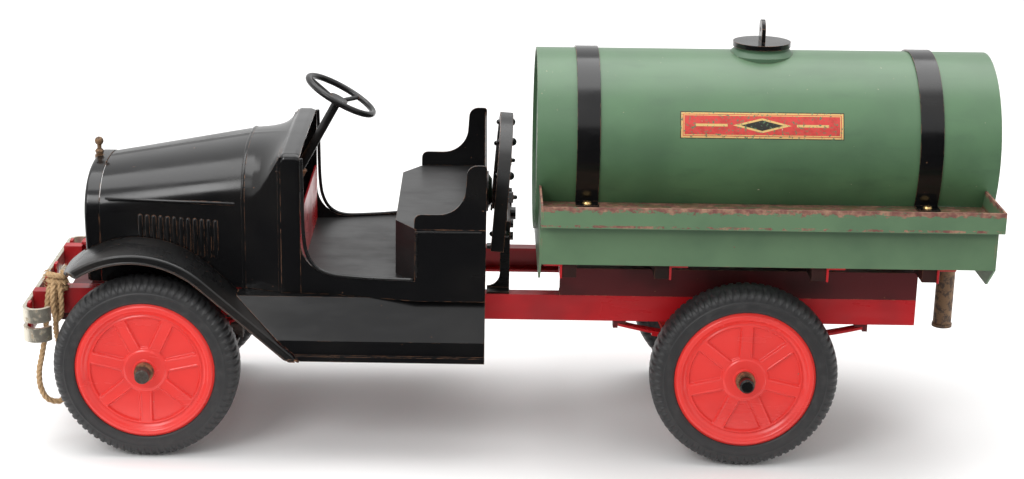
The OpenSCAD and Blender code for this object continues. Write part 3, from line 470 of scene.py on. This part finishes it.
# %% Lines and turned shapes
def draw_line(name, points):
    """A chain of edges through the points, left in edit mode with its last point selected."""
    bpy.ops.object.select_all(action="DESELECT")
    bpy.ops.mesh.primitive_plane_add(size=MM, location=points[0])
    piece = bpy.context.object
    piece.name = name
    bpy.ops.object.transform_apply(location=True, rotation=True, scale=True)
    bpy.ops.object.mode_set(mode="EDIT")
    bpy.ops.mesh.merge(type="CENTER")
    for start, end in zip(points, points[1:]):
        bpy.ops.mesh.extrude_region_move(TRANSFORM_OT_translate={"value": Vector(end) - Vector(start)})
    return piece


def turned(name, profile, steps, centre):
    """The profile, as (radius, distance along the axis) in millimetres, spun about an axis along Y."""
    points = [Vector((centre[0] + r * MM, centre[1] + a * MM, centre[2])) for r, a in profile]
    piece = draw_line(name, points)
    bpy.ops.mesh.select_all(action="SELECT")
    bpy.ops.mesh.spin(steps=steps, angle=2 * math.pi, center=centre, axis=(0, 1, 0))
    bpy.ops.mesh.select_all(action="SELECT")
    bpy.ops.mesh.remove_doubles(threshold=0.00002)
    bpy.ops.mesh.normals_make_consistent(inside=False)
    bpy.ops.object.mode_set(mode="OBJECT")
    bpy.ops.object.shade_smooth()
    return piece


def own_copy(piece, name, change):
    """A copy with its own mesh, moved or turned by the change."""
    twin = piece.copy()
    twin.data = piece.data.copy()
    twin.name = name
    twin.data.transform(change)
    bpy.context.scene.collection.objects.link(twin)
    return twin


def join(pieces, name):
    bpy.ops.object.select_all(action="DESELECT")
    for piece in pieces:
        piece.select_set(True)
    bpy.context.view_layer.objects.active = pieces[0]
    bpy.ops.object.join()
    pieces[0].name = name
    return pieces[0]


def turn_about(point, angle):
    """A turn by that angle about the line through the point along Y."""
    return Matrix.Translation(point) @ Matrix.Rotation(angle, 4, "Y") @ Matrix.Translation(-point)


# %% Bent sheets
def bent_sheet(name, across, along, place, thickness, inward=None):
    """A flat grid bent so that the point (s, t), each from 0 to 1, goes to place(s, t)."""
    bpy.ops.object.select_all(action="DESELECT")
    bpy.ops.mesh.primitive_grid_add(x_subdivisions=across, y_subdivisions=along, size=2, location=(0, 0, 0))
    piece = bpy.context.object
    piece.name = name
    for vertex in piece.data.vertices:
        s, t = (vertex.co.x + 1) / 2, (vertex.co.y + 1) / 2
        vertex.co = Vector(place(s, t)) * MM
    if inward is not None:
        facing = sum((p.center - inward * MM).dot(p.normal) * p.area for p in piece.data.polygons)
        if facing < 0:
            piece.data.flip_normals()
    sheet = piece.modifiers.new("sheet", "SOLIDIFY")
    sheet.thickness = thickness * MM
    sheet.offset = -1
    bpy.ops.object.modifier_apply(modifier="sheet")
    bpy.ops.object.shade_smooth_by_angle(angle=math.radians(38))
    return piece


def pill(name, start, end, radius, flat=1.0):
    """A round-ended bar from start to end, in millimetres, squeezed along Y by flat."""
    start, end = Vector(start), Vector(end)
    bpy.ops.object.select_all(action="DESELECT")
    bpy.ops.mesh.primitive_uv_sphere_add(segments=16, ring_count=10, radius=radius * MM)
    piece = bpy.context.object
    piece.name = name
    reach = (end - start).length * MM / 2
    for vertex in piece.data.vertices:
        vertex.co.z += math.copysign(reach, vertex.co.z) if abs(vertex.co.z) > 1e-7 else 0
    turn = (end - start).to_track_quat("Z", "Y").to_matrix().to_4x4()
    squeeze = Matrix.Diagonal((1, flat, 1, 1))
    piece.data.transform(Matrix.Translation((start + end) / 2 * MM) @ squeeze @ turn)
    bpy.ops.object.shade_smooth()
    return piece


# %% Bevelled bars
def bar(name, low, high, soften=0.3):
    """A box between two corners in millimetres, with its edges rounded."""
    low, high = Vector(low), Vector(high)
    bpy.ops.object.select_all(action="DESELECT")
    bpy.ops.mesh.primitive_cube_add(size=1, location=(0, 0, 0))
    piece = bpy.context.object
    piece.name = name
    size = high - low
    piece.data.transform(Matrix.Translation((low + high) / 2 * MM) @ Matrix.Diagonal((*(size * MM), 1)))
    bpy.ops.object.mode_set(mode="EDIT")
    bpy.ops.mesh.select_all(action="SELECT")
    bpy.ops.mesh.bevel(offset=soften * MM, segments=2)
    bpy.ops.object.mode_set(mode="OBJECT")
    return piece


# %% Tubes and strands along a route
def frames_along(route):
    """At each point of the route: the point and two directions across it that turn smoothly."""
    out = []
    across = Vector((0, 0, 1))
    for i, point in enumerate(route):
        ahead = (route[min(i + 1, len(route) - 1)] - route[max(i - 1, 0)]).normalized()
        across = (across - ahead * across.dot(ahead))
        if across.length < 1e-6:
            across = ahead.orthogonal()
        across.normalize()
        out.append((point, across.copy(), ahead.cross(across)))
    return out


def tube(name, centres, radius, sides):
    """A closed tube round the centres."""
    points, faces = [], []
    for point, u, v in frames_along(centres):
        for k in range(sides):
            turn = 2 * math.pi * k / sides
            points.append(point + (u * math.cos(turn) + v * math.sin(turn)) * radius)
    rings = len(points) // sides
    for i in range(rings - 1):
        for k in range(sides):
            a, b = i * sides + k, i * sides + (k + 1) % sides
            faces.append((a, b, b + sides, a + sides))
    faces.append(tuple(range(sides))[::-1])
    faces.append(tuple((rings - 1) * sides + k for k in range(sides)))
    mesh = bpy.data.meshes.new(name)
    mesh.from_pydata(points, [], faces)
    mesh.validate()
    mesh.shade_smooth()
    piece = bpy.data.objects.new(name, mesh)
    bpy.context.scene.collection.objects.link(piece)
    return piece


def twisted(name, route, diameter, lay_length, strands=3, sides=8):
    """Strands wound about the route, joined as one piece."""
    strand_r = diameter * 0.27
    reach = diameter / 2 - strand_r
    pieces = []
    for s in range(strands):
        centres, travelled = [], 0.0
        for i, (point, u, v) in enumerate(frames_along(route)):
            if i:
                travelled += (point - route[i - 1]).length
            turn = 2 * math.pi * (travelled / lay_length + s / strands)
            centres.append(point + (u * math.cos(turn) + v * math.sin(turn)) * reach)
        pieces.append(tube(f"{name}_{s}", centres, strand_r, sides))
    return join(pieces, name)


# %% [markdown]
# ## Wheel disc
# The disc is one pressing: a rolled rim with a groove, seven flat spokes between raised lines,
# sunken windows, and a boss round the hub. A press pushes a flat sheet up and down, and so does
# this step: a plain disc is spun, and each point is raised by a height that depends only on its
# radius and its distance from the nearest spoke.

# %% The press
SPOKES = 7
DISC_R = 43.0


def ramp(value, low, high):
    """0 below low, 1 above high, smooth between."""
    t = min(max((value - low) / (high - low), 0.0), 1.0)
    return t * t * (3 - 2 * t)


def pressed_height(r, angle):
    """Height in millimetres of the pressed disc; a spoke stands at angle 90 degrees."""
    pitch = 2 * math.pi / SPOKES
    offset = (angle - math.pi / 2 + pitch / 2) % pitch - pitch / 2
    across = abs(r * math.sin(offset))
    window = ramp(across, 3.5, 4.3) * ramp(r, 13.9, 14.8) * (1 - ramp(r, 33.2, 34.1))
    ridge = ramp(across, 2.6, 3.1) * (1 - ramp(across, 3.3, 3.9))
    ridge *= ramp(r, 14.5, 16) * (1 - ramp(r, 32.5, 34))
    height = 10.2 - 1.5 * window + 0.5 * ridge
    height += 0.8 * (1 - ramp(r, 12.0, 13.4)) + 1.1 * (1 - ramp(r, 6.6, 7.3))
    height -= 0.6 * ramp(r, 34.7, 35.3) * (1 - ramp(r, 35.9, 36.5))
    height += 2.7 * ramp(r, 36.3, 39.6)
    return height - 1.9 * ramp(r, 41.0, 43.0)


def radii():
    """Rings, closer together where the pressing bends."""
    rings = [5.8]
    while rings[-1] < DISC_R - 0.5:
        flat = 15.2 < rings[-1] < 32.4
        rings.append(rings[-1] + (0.8 if flat else 0.38))
    return rings + [DISC_R]


axle_front = middle("bush_front_left")
axle_rear = middle("bush_rear_left")
wheel_plane = middle("tyre_rear_left").y
hub = Vector((axle_rear.x, wheel_plane, axle_rear.z))


def wheel_disc(name):
    profile = [(r, 10.2) for r in radii()]
    piece = turned(name, profile, SPOKES * 66, hub)
    for vertex in piece.data.vertices:
        away = vertex.co - hub
        r = math.hypot(away.x, away.z) / MM
        vertex.co.y = hub.y + pressed_height(r, math.atan2(away.z, away.x)) * MM
    bpy.ops.object.select_all(action="DESELECT")
    piece.select_set(True)
    bpy.context.view_layer.objects.active = piece
    # the rim's edge is drawn back into the tyre, then the sheet gets its thickness
    bpy.ops.object.mode_set(mode="EDIT")
    bpy.ops.mesh.select_all(action="DESELECT")
    bpy.ops.object.mode_set(mode="OBJECT")
    for edge in piece.data.edges:
        ends = [piece.data.vertices[i].co for i in edge.vertices]
        edge.select = all(math.hypot(e.x - hub.x, e.z - hub.z) > (DISC_R - 0.1) * MM for e in ends)
    bpy.ops.object.mode_set(mode="EDIT")
    bpy.ops.mesh.select_mode(type="EDGE")
    bpy.ops.mesh.extrude_region_move(TRANSFORM_OT_translate={"value": (0, -22 * MM, 0)})
    bpy.ops.mesh.select_mode(type="VERT")
    bpy.ops.mesh.select_all(action="SELECT")
    bpy.ops.mesh.normals_make_consistent(inside=False)
    bpy.ops.object.mode_set(mode="OBJECT")
    return piece


def face_left(piece):
    """Turns the faces of an open shell so that its front looks along +Y."""
    facing = sum(p.normal.y * p.area for p in piece.data.polygons)
    if facing < 0:
        piece.data.flip_normals()


rear_left = wheel_disc("wheel_disc_rear_left")
face_left(rear_left)
thick = rear_left.modifiers.new("sheet", "SOLIDIFY")
thick.thickness = 1.0 * MM
thick.offset = -1
bpy.ops.object.select_all(action="DESELECT")
rear_left.select_set(True)
bpy.context.view_layer.objects.active = rear_left
bpy.ops.object.modifier_apply(modifier="sheet")
bpy.ops.object.shade_smooth_by_angle(angle=math.radians(50))
print("disc faces", len(rear_left.data.polygons))

# %% [markdown]
# ## Tyre
# The tyre is solid rubber from a two-part mould: a smooth sidewall with one fine line, and a
# row of wedge-shaped lugs cut into each shoulder. The body is turned, and then the mould's
# pattern lifts each point of its shoulder that lies inside a lug.

# %% Tyre
LUGS = 76
LUG_STEPS = 12
SIDEWALL = [(43.0, 11.0), (43.5, 12.0), (45.0, 12.35), (47.4, 12.4), (49.0, 12.3),
            (49.3, 12.5), (49.6, 12.5), (49.9, 12.15), (50.4, 12.0)]


def shoulder_curve(count):
    """The rounded shoulder from the sidewall to the tread."""
    turns = [math.pi / 2 * i / count for i in range(1, count + 1)]
    return [(50.4 + 6.1 * math.sin(t), 3.0 + 9.0 * math.cos(t) ** 0.85) for t in turns[:-1]] + [(56.5, 3.0)]


def lug_height(r, across, angle):
    """How far the mould lifts the rubber, in millimetres."""
    pitch = 2 * math.pi / LUGS
    shift = 0 if across > 0 else pitch / 2
    offset = abs((angle + shift) % pitch - pitch / 2) * 56
    broad = 1.55 * ramp(r, 50.4, 55.6) ** 0.8
    inside = 1 - ramp(offset, broad - 0.3, broad + 0.1)
    crown = 1 - ramp(abs(across), 3.4, 4.6)
    return 0.8 * max(inside * ramp(r, 50.5, 51.6), crown)


half_profile = SIDEWALL + shoulder_curve(16)
profile = half_profile + [(56.5, 0.0)] + [(r, -a) for r, a in reversed(half_profile)]
tyre = turned("treaded_tyre_rear_left", profile + [profile[0]], LUGS * LUG_STEPS, hub)
for vertex in tyre.data.vertices:
    away = vertex.co - hub
    r = math.hypot(away.x, away.z) / MM
    across = away.y / MM
    if r > 50.3:
        lift = lug_height(r, across, math.atan2(away.z, away.x)) * MM
        out = Vector((away.x, 0, away.z)).normalized() * (r - 47) + Vector((0, across, 0)) * 0.6
        vertex.co += out.normalized() * lift
print("tyre faces", len(tyre.data.polygons))

# %% [markdown]
# ## Four wheels
# The front wheels stand with a spoke straight down and the rear ones with a spoke straight up,
# so the front disc is the rear one turned half way round. The right wheels are mirror images.

# %% Wheels in their places
def place_wheel(master, stem, where, side, half_turn):
    """A copy of the rear left master at one of the four wheels."""
    change = Matrix.Identity(4)
    if half_turn:
        change = turn_about(hub, math.pi)
    if side == "right":
        change = Matrix.Diagonal((1, -1, 1, 1)) @ change
    target = axle_front if where == "front" else axle_rear
    change = Matrix.Translation((target.x - hub.x, 0, 0)) @ change
    piece = own_copy(master, f"{stem}_{where}_{side}", change)
    if side == "right":
        piece.data.flip_normals()
    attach(piece, f"wheel_{where}_{side}")
    return piece


for where in ("front", "rear"):
    for side in ("left", "right"):
        disc = place_wheel(rear_left, "pressed_disc", where, side, where == "front")
        paint(disc, wheel_red)
        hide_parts(f"disc_{where}_{side}")
        tread = place_wheel(tyre, "treaded_tyre", where, side, False)
        paint(tread, tyre_rubber)
        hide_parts(f"tyre_{where}_{side}")
bpy.data.objects.remove(rear_left)
bpy.data.objects.remove(tyre)
print("wheels placed")

# %% [markdown]
# ## Hood
# The hood is one sheet folded over a former: a hinge crease along the top, soft shoulders and
# upright sides. A bead and twelve louvres are pressed into each side. A flat grid is bent to
# that section here, which tapers towards the radiator.

# %% Hood
AXLE_FRONT = axle_front.x / MM
BODY_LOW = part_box("hood")[0].z / MM
HOOD_FRONT, HOOD_REAR = AXLE_FRONT + 32, AXLE_FRONT - 58.5
SHOULDER = 32


def mixed(first, second, t):
    return first + (second - first) * t


def half_section(t, half, low, corner, top, crease, blend):
    """Half a body section from its foot (t = 0) to the middle of its roof (t = 1)."""
    rise = 0.34
    if t < rise:
        return half, mixed(low, corner, t / rise)
    turn = math.pi / 2 * (t - rise) / (1 - rise)
    y = half * math.cos(turn) ** (2 / 2.5)
    z = corner + (top - crease - corner) * math.sin(turn) ** (2 / 2.5)
    straight = (turn / (math.pi / 2)) ** 1.2
    y_flat, z_flat = half * (1 - straight), mixed(corner, top, math.sin(straight * math.pi / 2) ** 0.8)
    y, z = mixed(y, y_flat, blend), mixed(z, z_flat, blend)
    return y, z + crease * (0.75 * (1 - ramp(y, 0.5, 1.6)) + 0.9 * (1 - y / half) - 0.9)


def body_point(s, x, half, low, corner, top, crease=0.8, blend=0.0):
    """A point of the whole section: s runs from the left foot over the roof to the right foot."""
    t = 1 - abs(2 * s - 1)
    y, z = half_section(t, half, low, corner, top, crease, blend)
    return x, y if s < 0.5 else -y, z


def hood_half(x):
    return mixed(57.0, 47.5, (x - HOOD_REAR) / (HOOD_FRONT - HOOD_REAR))


def hood_point(s, t):
    x = mixed(HOOD_REAR + 0.3, HOOD_FRONT - 0.2, t)
    top = mixed(187.2, 171.6, (x - HOOD_REAR) / (HOOD_FRONT - HOOD_REAR))
    return body_point(s, x, hood_half(x), BODY_LOW, top - SHOULDER, top)


inside = Vector((AXLE_FRONT, 0, 130))
hood_pieces = [bent_sheet("hood_sheet", 220, 40, hood_point, 1.0, inside)]
for side in (1, -1):
    ends = [AXLE_FRONT + 27, AXLE_FRONT - 53]
    hood_pieces.append(pill("bead", *[(x, side * (hood_half(x) + 0.05), 155.2) for x in ends], 0.9))
    for i in range(12):
        x = AXLE_FRONT + 6 - 4.3 * i
        y = side * (hood_half(x) + 0.2)
        hood_pieces.append(pill("louvre", (x, y, 123.4 - 0.2 * i), (x, y, 144.8 - 0.16 * i), 1.35, 0.75))
hood = join(hood_pieces, "pressed_hood")
paint(hood, black)
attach(hood, "chassis")
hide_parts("hood")
print("hood faces", len(hood.data.polygons))

# %% [markdown]
# ## Cowl
# Behind a rolled seam the cowl widens to the dash. Its sides stay upright and sweep up in a
# crease, and its roof is hollowed before it climbs to a raised band over the dash. The roof
# and the band are two bent sheets, and the seam is a thin half-round roll.

# %% Cowl
DASH_FRONT, DASH_REAR = AXLE_FRONT - 82, AXLE_FRONT - 94.5
SWEEP = [(0.0, 155.4), (0.25, 159.5), (0.45, 165.5), (0.62, 172.3), (0.78, 178.6), (0.9, 183.6),
         (1.0, 187.6)]


def swept(t):
    """Height of the side's crease, from the seam (0) to the dash (1)."""
    for (a, low), (b, high) in zip(SWEEP, SWEEP[1:]):
        if t <= b:
            return mixed(low, high, (t - a) / (b - a))
    return SWEEP[-1][1]


def cowl_point(s, t):
    x = mixed(HOOD_REAR - 0.3, DASH_FRONT - 0.5, t)
    top = mixed(187.0, 188.2, t)
    return body_point(s, x, mixed(56.9, 65.6, t ** 1.1), BODY_LOW, swept(t), top, 0.5 * (1 - t), t ** 1.3)


def band_section(s):
    """The raised band over the dash: upright sides, tight corners and a nearly flat top."""
    t = 1 - abs(2 * s - 1)
    if t < 0.4:
        y, z = 66.0, mixed(BODY_LOW, 184.6, t / 0.4)
    elif t < 0.6:
        turn = math.pi / 2 * (t - 0.4) / 0.2
        y, z = 61.6 + 4.4 * math.cos(turn), 184.6 + 4.4 * math.sin(turn)
    else:
        y, z = 61.6 * (1 - (t - 0.6) / 0.4), 189.0 + 1.0 * math.sin(math.pi / 2 * (t - 0.6) / 0.4)
    return y if s < 0.5 else -y, z


def band_point(s, t):
    y, z = band_section(s)
    fold = ramp(t, 0.0, 0.3) * (1 - 0.4 * ramp(t, 0.75, 1.0))
    return (mixed(DASH_FRONT + 1.2, DASH_REAR, t), y * (0.985 + 0.015 * fold),
            z - 2.4 * (1 - fold) if z > 180 else z)


def seam_point(s, t):
    turn = math.pi * t
    x, y, z = body_point(s, HOOD_REAR, 57.0, BODY_LOW, 155.6, 187.0, 0.5)
    out = Vector((0, y, z - 125)).normalized() * (0.8 * math.sin(turn) - 0.15)
    return x + 1.1 * math.cos(turn), y + out.y, z + out.z


inside = Vector((AXLE_FRONT - 75, 0, 130))
cowl = join([bent_sheet("cowl_roof", 200, 40, cowl_point, 1.1, inside),
             bent_sheet("dash_band", 200, 24, band_point, 1.1, inside),
             bent_sheet("hood_seam", 200, 8, seam_point, 0.4, inside)], "pressed_cowl")
paint(cowl, black)
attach(cowl, "chassis")
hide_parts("cowl")
print("cowl faces", len(cowl.data.polygons))

# %% [markdown]
# ## Fenders
# Each fender is a strip rolled over the wheel, whose outer edge is turned down and whose rim
# is curled. The strip narrows at the front to a rounded tip and runs straight down at the
# back until it meets the foot of the running board.

# %% Fenders
FENDER_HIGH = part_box("fender_left")[1]
FENDER_OUT = FENDER_HIGH.y / MM
FENDER_R = 67.0
FENDER_X = AXLE_FRONT + 5.9
FENDER_Z = FENDER_HIGH.z / MM - FENDER_R


def fender_at(t, drop):
    """A point of the fender's side line and its outward direction there."""
    tip, tail = math.radians(48), math.radians(131)
    if t < 0.62:
        turn = mixed(tip, tail, t / 0.62)
        out = Vector((math.cos(turn), 0, math.sin(turn)))
        return Vector((FENDER_X, 0, FENDER_Z)) + out * (FENDER_R - drop)
    out = Vector((math.cos(tail), 0, math.sin(tail)))
    start = Vector((FENDER_X, 0, FENDER_Z)) + out * FENDER_R
    run = (start.z - 66.0) / math.sin(tail - math.pi / 2)
    ahead = Vector((-math.sin(tail), 0, math.cos(tail)))
    return start + ahead * run * (t - 0.62) / 0.38 - out * drop


def fender_point(s, t):
    x = fender_at(t, 0).x
    inner = hood_half(min(max(x, HOOD_REAR), HOOD_FRONT)) + 1.6 if x < AXLE_FRONT + 42 else 44.0
    round_tip = 1 - (1 - ramp(t, 0.0, 0.07)) * 0.35
    outer = mixed(inner, FENDER_OUT - 1.6, round_tip)
    if s < 0.72:
        crown = 0.5 * math.sin(math.pi * s / 0.72)
        place = fender_at(t, 0.6 - crown)
        return place.x, mixed(inner, outer, s / 0.72), max(place.z, 66.1)
    turn = (s - 0.72) / 0.28
    if turn < 0.4:
        bend = math.pi / 2 * turn / 0.4
        place = fender_at(t, 0.6 + 1.6 * (1 - math.cos(bend)))
        return place.x, outer + 1.6 * math.sin(bend), max(place.z, 66.1)
    deep = (turn - 0.4) / 0.6
    curl = 0.5 * math.sin(math.pi * ramp(deep, 0.55, 1.0))
    place = fender_at(t, 2.2 + 4.1 * deep * (0.25 + 0.75 * ramp(t, 0.0, 0.08)))
    return place.x, outer + 1.6 - 0.5 * deep + curl, max(place.z, 66.1)


fender = bent_sheet("rolled_fender_left", 72, 150, fender_point, 0.9, Vector((FENDER_X, 70, FENDER_Z)))
mirror = Matrix.Diagonal((1, -1, 1, 1))
fender_right = own_copy(fender, "rolled_fender_right", mirror)
fender_right.data.flip_normals()
for piece, side in ((fender, "left"), (fender_right, "right")):
    paint(piece, black_worn)
    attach(piece, "chassis")
    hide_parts(f"fender_{side}")
print("fender faces", len(fender.data.polygons))

# %% [markdown]
# ## Radiator shell
# The shell is drawn from one sheet: it continues the hood's section, bows forward a little, and
# turns in round the front to frame the core. The core and its fins stay behind it.

# %% Radiator shell
def shell_point(s, t):
    curl = ramp(t, 0.62, 1.0)
    shrink = 1 - 0.17 * curl ** 1.5
    x, y, z = body_point(s, 0, 47.2, BODY_LOW, 171.0 - SHOULDER, 171.0, 0.0)
    bow = 1 - ((z - 146) / 46) ** 2
    x = HOOD_FRONT + 0.2 + 8.6 * min(t / 0.75, 1.0) * (0.82 + 0.18 * bow) + 0.8 * math.sin(math.pi * curl)
    return x, y * shrink, mixed(z, 128 + (z - 128) * shrink, ramp(z, 110, 150))


shell = join([bent_sheet("shell_sheet", 200, 30, shell_point, 1.1, Vector((AXLE_FRONT + 30, 0, 130))),
              bar("shell_sill", (HOOD_FRONT + 1, -45, BODY_LOW), (HOOD_FRONT + 9, 45, BODY_LOW + 6))],
             "drawn_radiator_shell")
paint(shell, black)
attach(shell, "chassis")
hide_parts("radiator_shell")
print("radiator shell faces", len(shell.data.polygons))

# %% [markdown]
# ## Rolled door edge and the seat panel's bead
# The raw edge of the doorway is rolled over a wire, which shows as a bright line from the dash
# down to the sill. The seat box has a narrow bead round its side panel. Both are thin tubes
# laid on the sheet.

# %% Rolls and beads on the cab
DOOR = [(125.2, 66.4, 187.0), (124.9, 66.4, 176.0), (124.7, 66.4, 162.0), (124.4, 66.4, 147.0),
        (123.9, 66.4, 137.5), (122.6, 66.5, 129.0), (119.2, 66.7, 121.4), (113.6, 67.1, 116.6),
        (105.5, 68.0, 114.4), (91.7, 71.0, 114.0), (76.3, 74.4, 114.2), (56.6, 78.8, 115.2)]
PANEL = [(15.0, 79.0, 145.6), (35.0, 79.0, 145.5), (53.6, 79.0, 145.4), (54.6, 79.0, 144.4),
         (54.7, 79.0, 130.0), (54.7, 79.0, 117.0)]
cab_left = []
for points, radius in ((DOOR, 1.15), (PANEL, 0.6)):
    route = smooth_route([Vector(p) * MM for p in points], 8)
    cab_left.append(tube("roll", route, radius * MM, 10))
cab_rolls = join(cab_left, "cab_rolls_left")
cab_rolls_right = own_copy(cab_rolls, "cab_rolls_right", mirror)
cab_rolls_right.data.flip_normals()
for piece in (cab_rolls, cab_rolls_right):
    paint(piece, black_worn)
    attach(piece, "chassis")
print("roll faces", len(cab_rolls.data.polygons))

# %% [markdown]
# ## Cross bearers under the bed
# Folded channels carry the bed. Only their ends show below its skirt: a channel painted dark
# red as painted shade, with a red turned-out tab beside it, which faces forwards on the first
# bearer and backwards on the others.

# %% Cross bearers
bearer_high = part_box("bolsters")[1] / MM
bearer_x = [AXLE_FRONT - 258, AXLE_FRONT - 314, AXLE_FRONT - 408, AXLE_FRONT - 474]
channels, tabs = [], []
for i, x in enumerate(bearer_x):
    y, z = bearer_high.y, bearer_high.z
    channels.append(bar("channel", (x - 4.6, -y + 1, z - 9), (x + 4.6, y - 1, z - 0.4)))
    way = 1 if i == 0 else -1
    edge = x + way * 4.8
    tabs.append(bar("tab_wall", (edge - 0.7, -y, z - 9.4), (edge + 0.7, y, z - 0.3)))
    feet = sorted((edge, edge + way * 10.5))
    tabs.append(bar("tab_foot", (feet[0], -y, z - 1.6), (feet[1], y, z - 0.2)))
channels = join(channels, "bearer_channels")
tabs = join(tabs, "bearer_tabs")
paint(channels, shadow_red)
paint(tabs, chassis_red)
for piece, slot in ((channels, "chassis_dark"), (tabs, "chassis_red")):
    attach(piece, "chassis")
    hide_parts("bolsters")
print("bearers at", [round(x, 1) for x in bearer_x])

# %% [markdown]
# ## Rivets on the rack's hoop
# Round-headed rivets and one nut hold a strap inside the hoop. They sit on its back, round the
# arch, with smaller heads in front.

# %% Rack rivets
RACK_X, RACK_LOW, RACK_HALF = AXLE_FRONT - 215, 125.0, 47.0
LEAN = math.tan(math.radians(4))
heads = []
for side in (1, -1):
    for degrees, kind in ((55, "dome"), (26, "dome"), (10, "nut"), (-18, "dome")):
        turn = math.radians(degrees)
        reach = RACK_HALF if degrees > 0 else RACK_HALF / math.cos(turn)
        y, z = side * reach * math.cos(turn), 151 + reach * math.sin(turn)
        x = RACK_X - LEAN * (z - RACK_LOW)
        if kind == "dome":
            heads.append(pill("rivet", (x - 4.1, y, z), (x - 3.9, y, z), 2.6))
            heads.append(pill("rivet", (x + 3.9, y, z), (x + 4.0, y, z), 1.7))
        else:
            place = Vector((x - 5.4, y, z)) * MM
            bpy.ops.mesh.primitive_cylinder_add(vertices=6, radius=3.6 * MM, depth=3.4 * MM,
                                                rotation=(0, math.pi / 2, 0), location=place)
            bpy.ops.object.transform_apply(location=True, rotation=True, scale=True)
            heads.append(bpy.context.object)
            heads.append(pill("bolt", (x - 8.2, y, z), (x - 5, y, z), 1.4))
heads = join(heads, "hoop_rivets")
bpy.ops.object.shade_smooth_by_angle(angle=math.radians(40))
paint(heads, black)
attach(heads, "chassis")
print("rivet faces", len(heads.data.polygons))

# %% [markdown]
# ## Tow rope
# A jute rope is three strands laid round each other. Each strand is a thin tube that winds
# about the rope's route, a third of a turn from the next.

# %% Rope strands
rope = twisted("twisted_tow_rope", rope_route, ROPE_DIAMETER, 11 * MM)
paint(rope, rope_jute)
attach(rope, "chassis")
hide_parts("tow_rope")
print("rope faces", len(rope.data.polygons))

# %% [markdown]
# ## Knot
# The rope's end is wound round its own fall and drawn tight, and its cut strands fray. Two and
# a half turns of the same twisted rope make the knot, with loose fibres sticking out.

# %% Knot
KNOT = Vector((279.0, 54.5, 104.0))
coil = []
for i in range(101):
    t = i / 100
    turn = 2 * math.pi * 2.6 * t + 0.6
    coil.append((KNOT + Vector((5.4 * math.cos(turn), 4.4 * math.sin(turn),
                                -5.2 + 10.4 * t + 1.6 * math.sin(turn + 1.1)))) * MM)
knot = twisted("knot_coil", coil, ROPE_DIAMETER, 9 * MM)
loose = random.Random(7)
fibres = [knot]
for i in range(46):
    turn = loose.uniform(0, 2 * math.pi)
    start = KNOT + Vector((5 * math.cos(turn), 4 * math.sin(turn), loose.uniform(-6, 7)))
    way = Vector((math.cos(turn), math.sin(turn), loose.uniform(-0.9, 0.9))).normalized()
    bend = Vector([loose.uniform(-1, 1) for _ in range(3)])
    reach = loose.uniform(3.0, 5.6)
    path = [(start + way * reach * k / 5 + bend * (k / 5) ** 2 * 1.6) * MM for k in range(6)]
    fibres.append(tube("fibre", path, loose.uniform(0.12, 0.3) * MM, 5))
knot = join(fibres, "frayed_knot")
paint(knot, rope_jute)
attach(knot, "chassis")
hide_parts("rope_knot")
print("knot faces", len(knot.data.polygons))

# %% [markdown]
# ## Floor and light
# A pale seamless floor and large soft lights, as in a studio. The black enamel shows what it
# reflects, so the light comes from above and behind, and the side towards the camera stays dim.

# %% Floor
bpy.ops.object.select_all(action="DESELECT")
bpy.ops.mesh.primitive_plane_add(size=14, location=(0, 0, 0))
floor = bpy.context.object
floor.name = "studio_floor"
floor_finish = Finish("floor_white")
paint(floor, floor_finish.surface((0.93, 0.925, 0.92), 0.8, round_edges=None, specular=0.2))

# %% Dark cards that only reflections see
def dark_card(name, low, high):
    """A matt dark card, as photographers stand beside glossy enamel; only reflections see it."""
    card = bar(name, low, high, 0.5)
    finish = Finish(name + "_paper")
    paint(card, finish.surface((0.012, 0.012, 0.013), 0.9, round_edges=None, specular=0.1))
    card.visible_camera = False
    card.visible_diffuse = False
    card.visible_shadow = False
    card.visible_transmission = False


dark_card("floor_card", (-2600, 165, 0.5), (2600, 2600, 1.5))
dark_card("wall_card", (-2600, 2600, 0), (2600, 2610, 1500))

# %% Lights
def soft_light(name, place, aim, size, power):
    data = bpy.data.lights.new(name, "AREA")
    data.shape = "RECTANGLE"
    data.size, data.size_y = size
    data.energy = power
    lamp = bpy.data.objects.new(name, data)
    lamp.location = place
    lamp.rotation_euler = (Vector(aim) - Vector(place)).to_track_quat("-Z", "Y").to_euler()
    bpy.context.scene.collection.objects.link(lamp)


soft_light("overhead", (0.1, -0.25, 1.7), (0, 0, 0.1), (2.4, 1.5), 30)
soft_light("front_left", (1.0, 1.6, 1.5), (0, 0, 0.12), (0.9, 0.9), 16)
world = bpy.data.worlds.new("studio")
world.use_nodes = True
world.node_tree.nodes["Background"].inputs["Color"].default_value = (1.0, 1.0, 1.0, 1)
world.node_tree.nodes["Background"].inputs["Strength"].default_value = 0.86
bpy.context.scene.world = world
bpy.context.scene.view_settings.view_transform = "Standard"
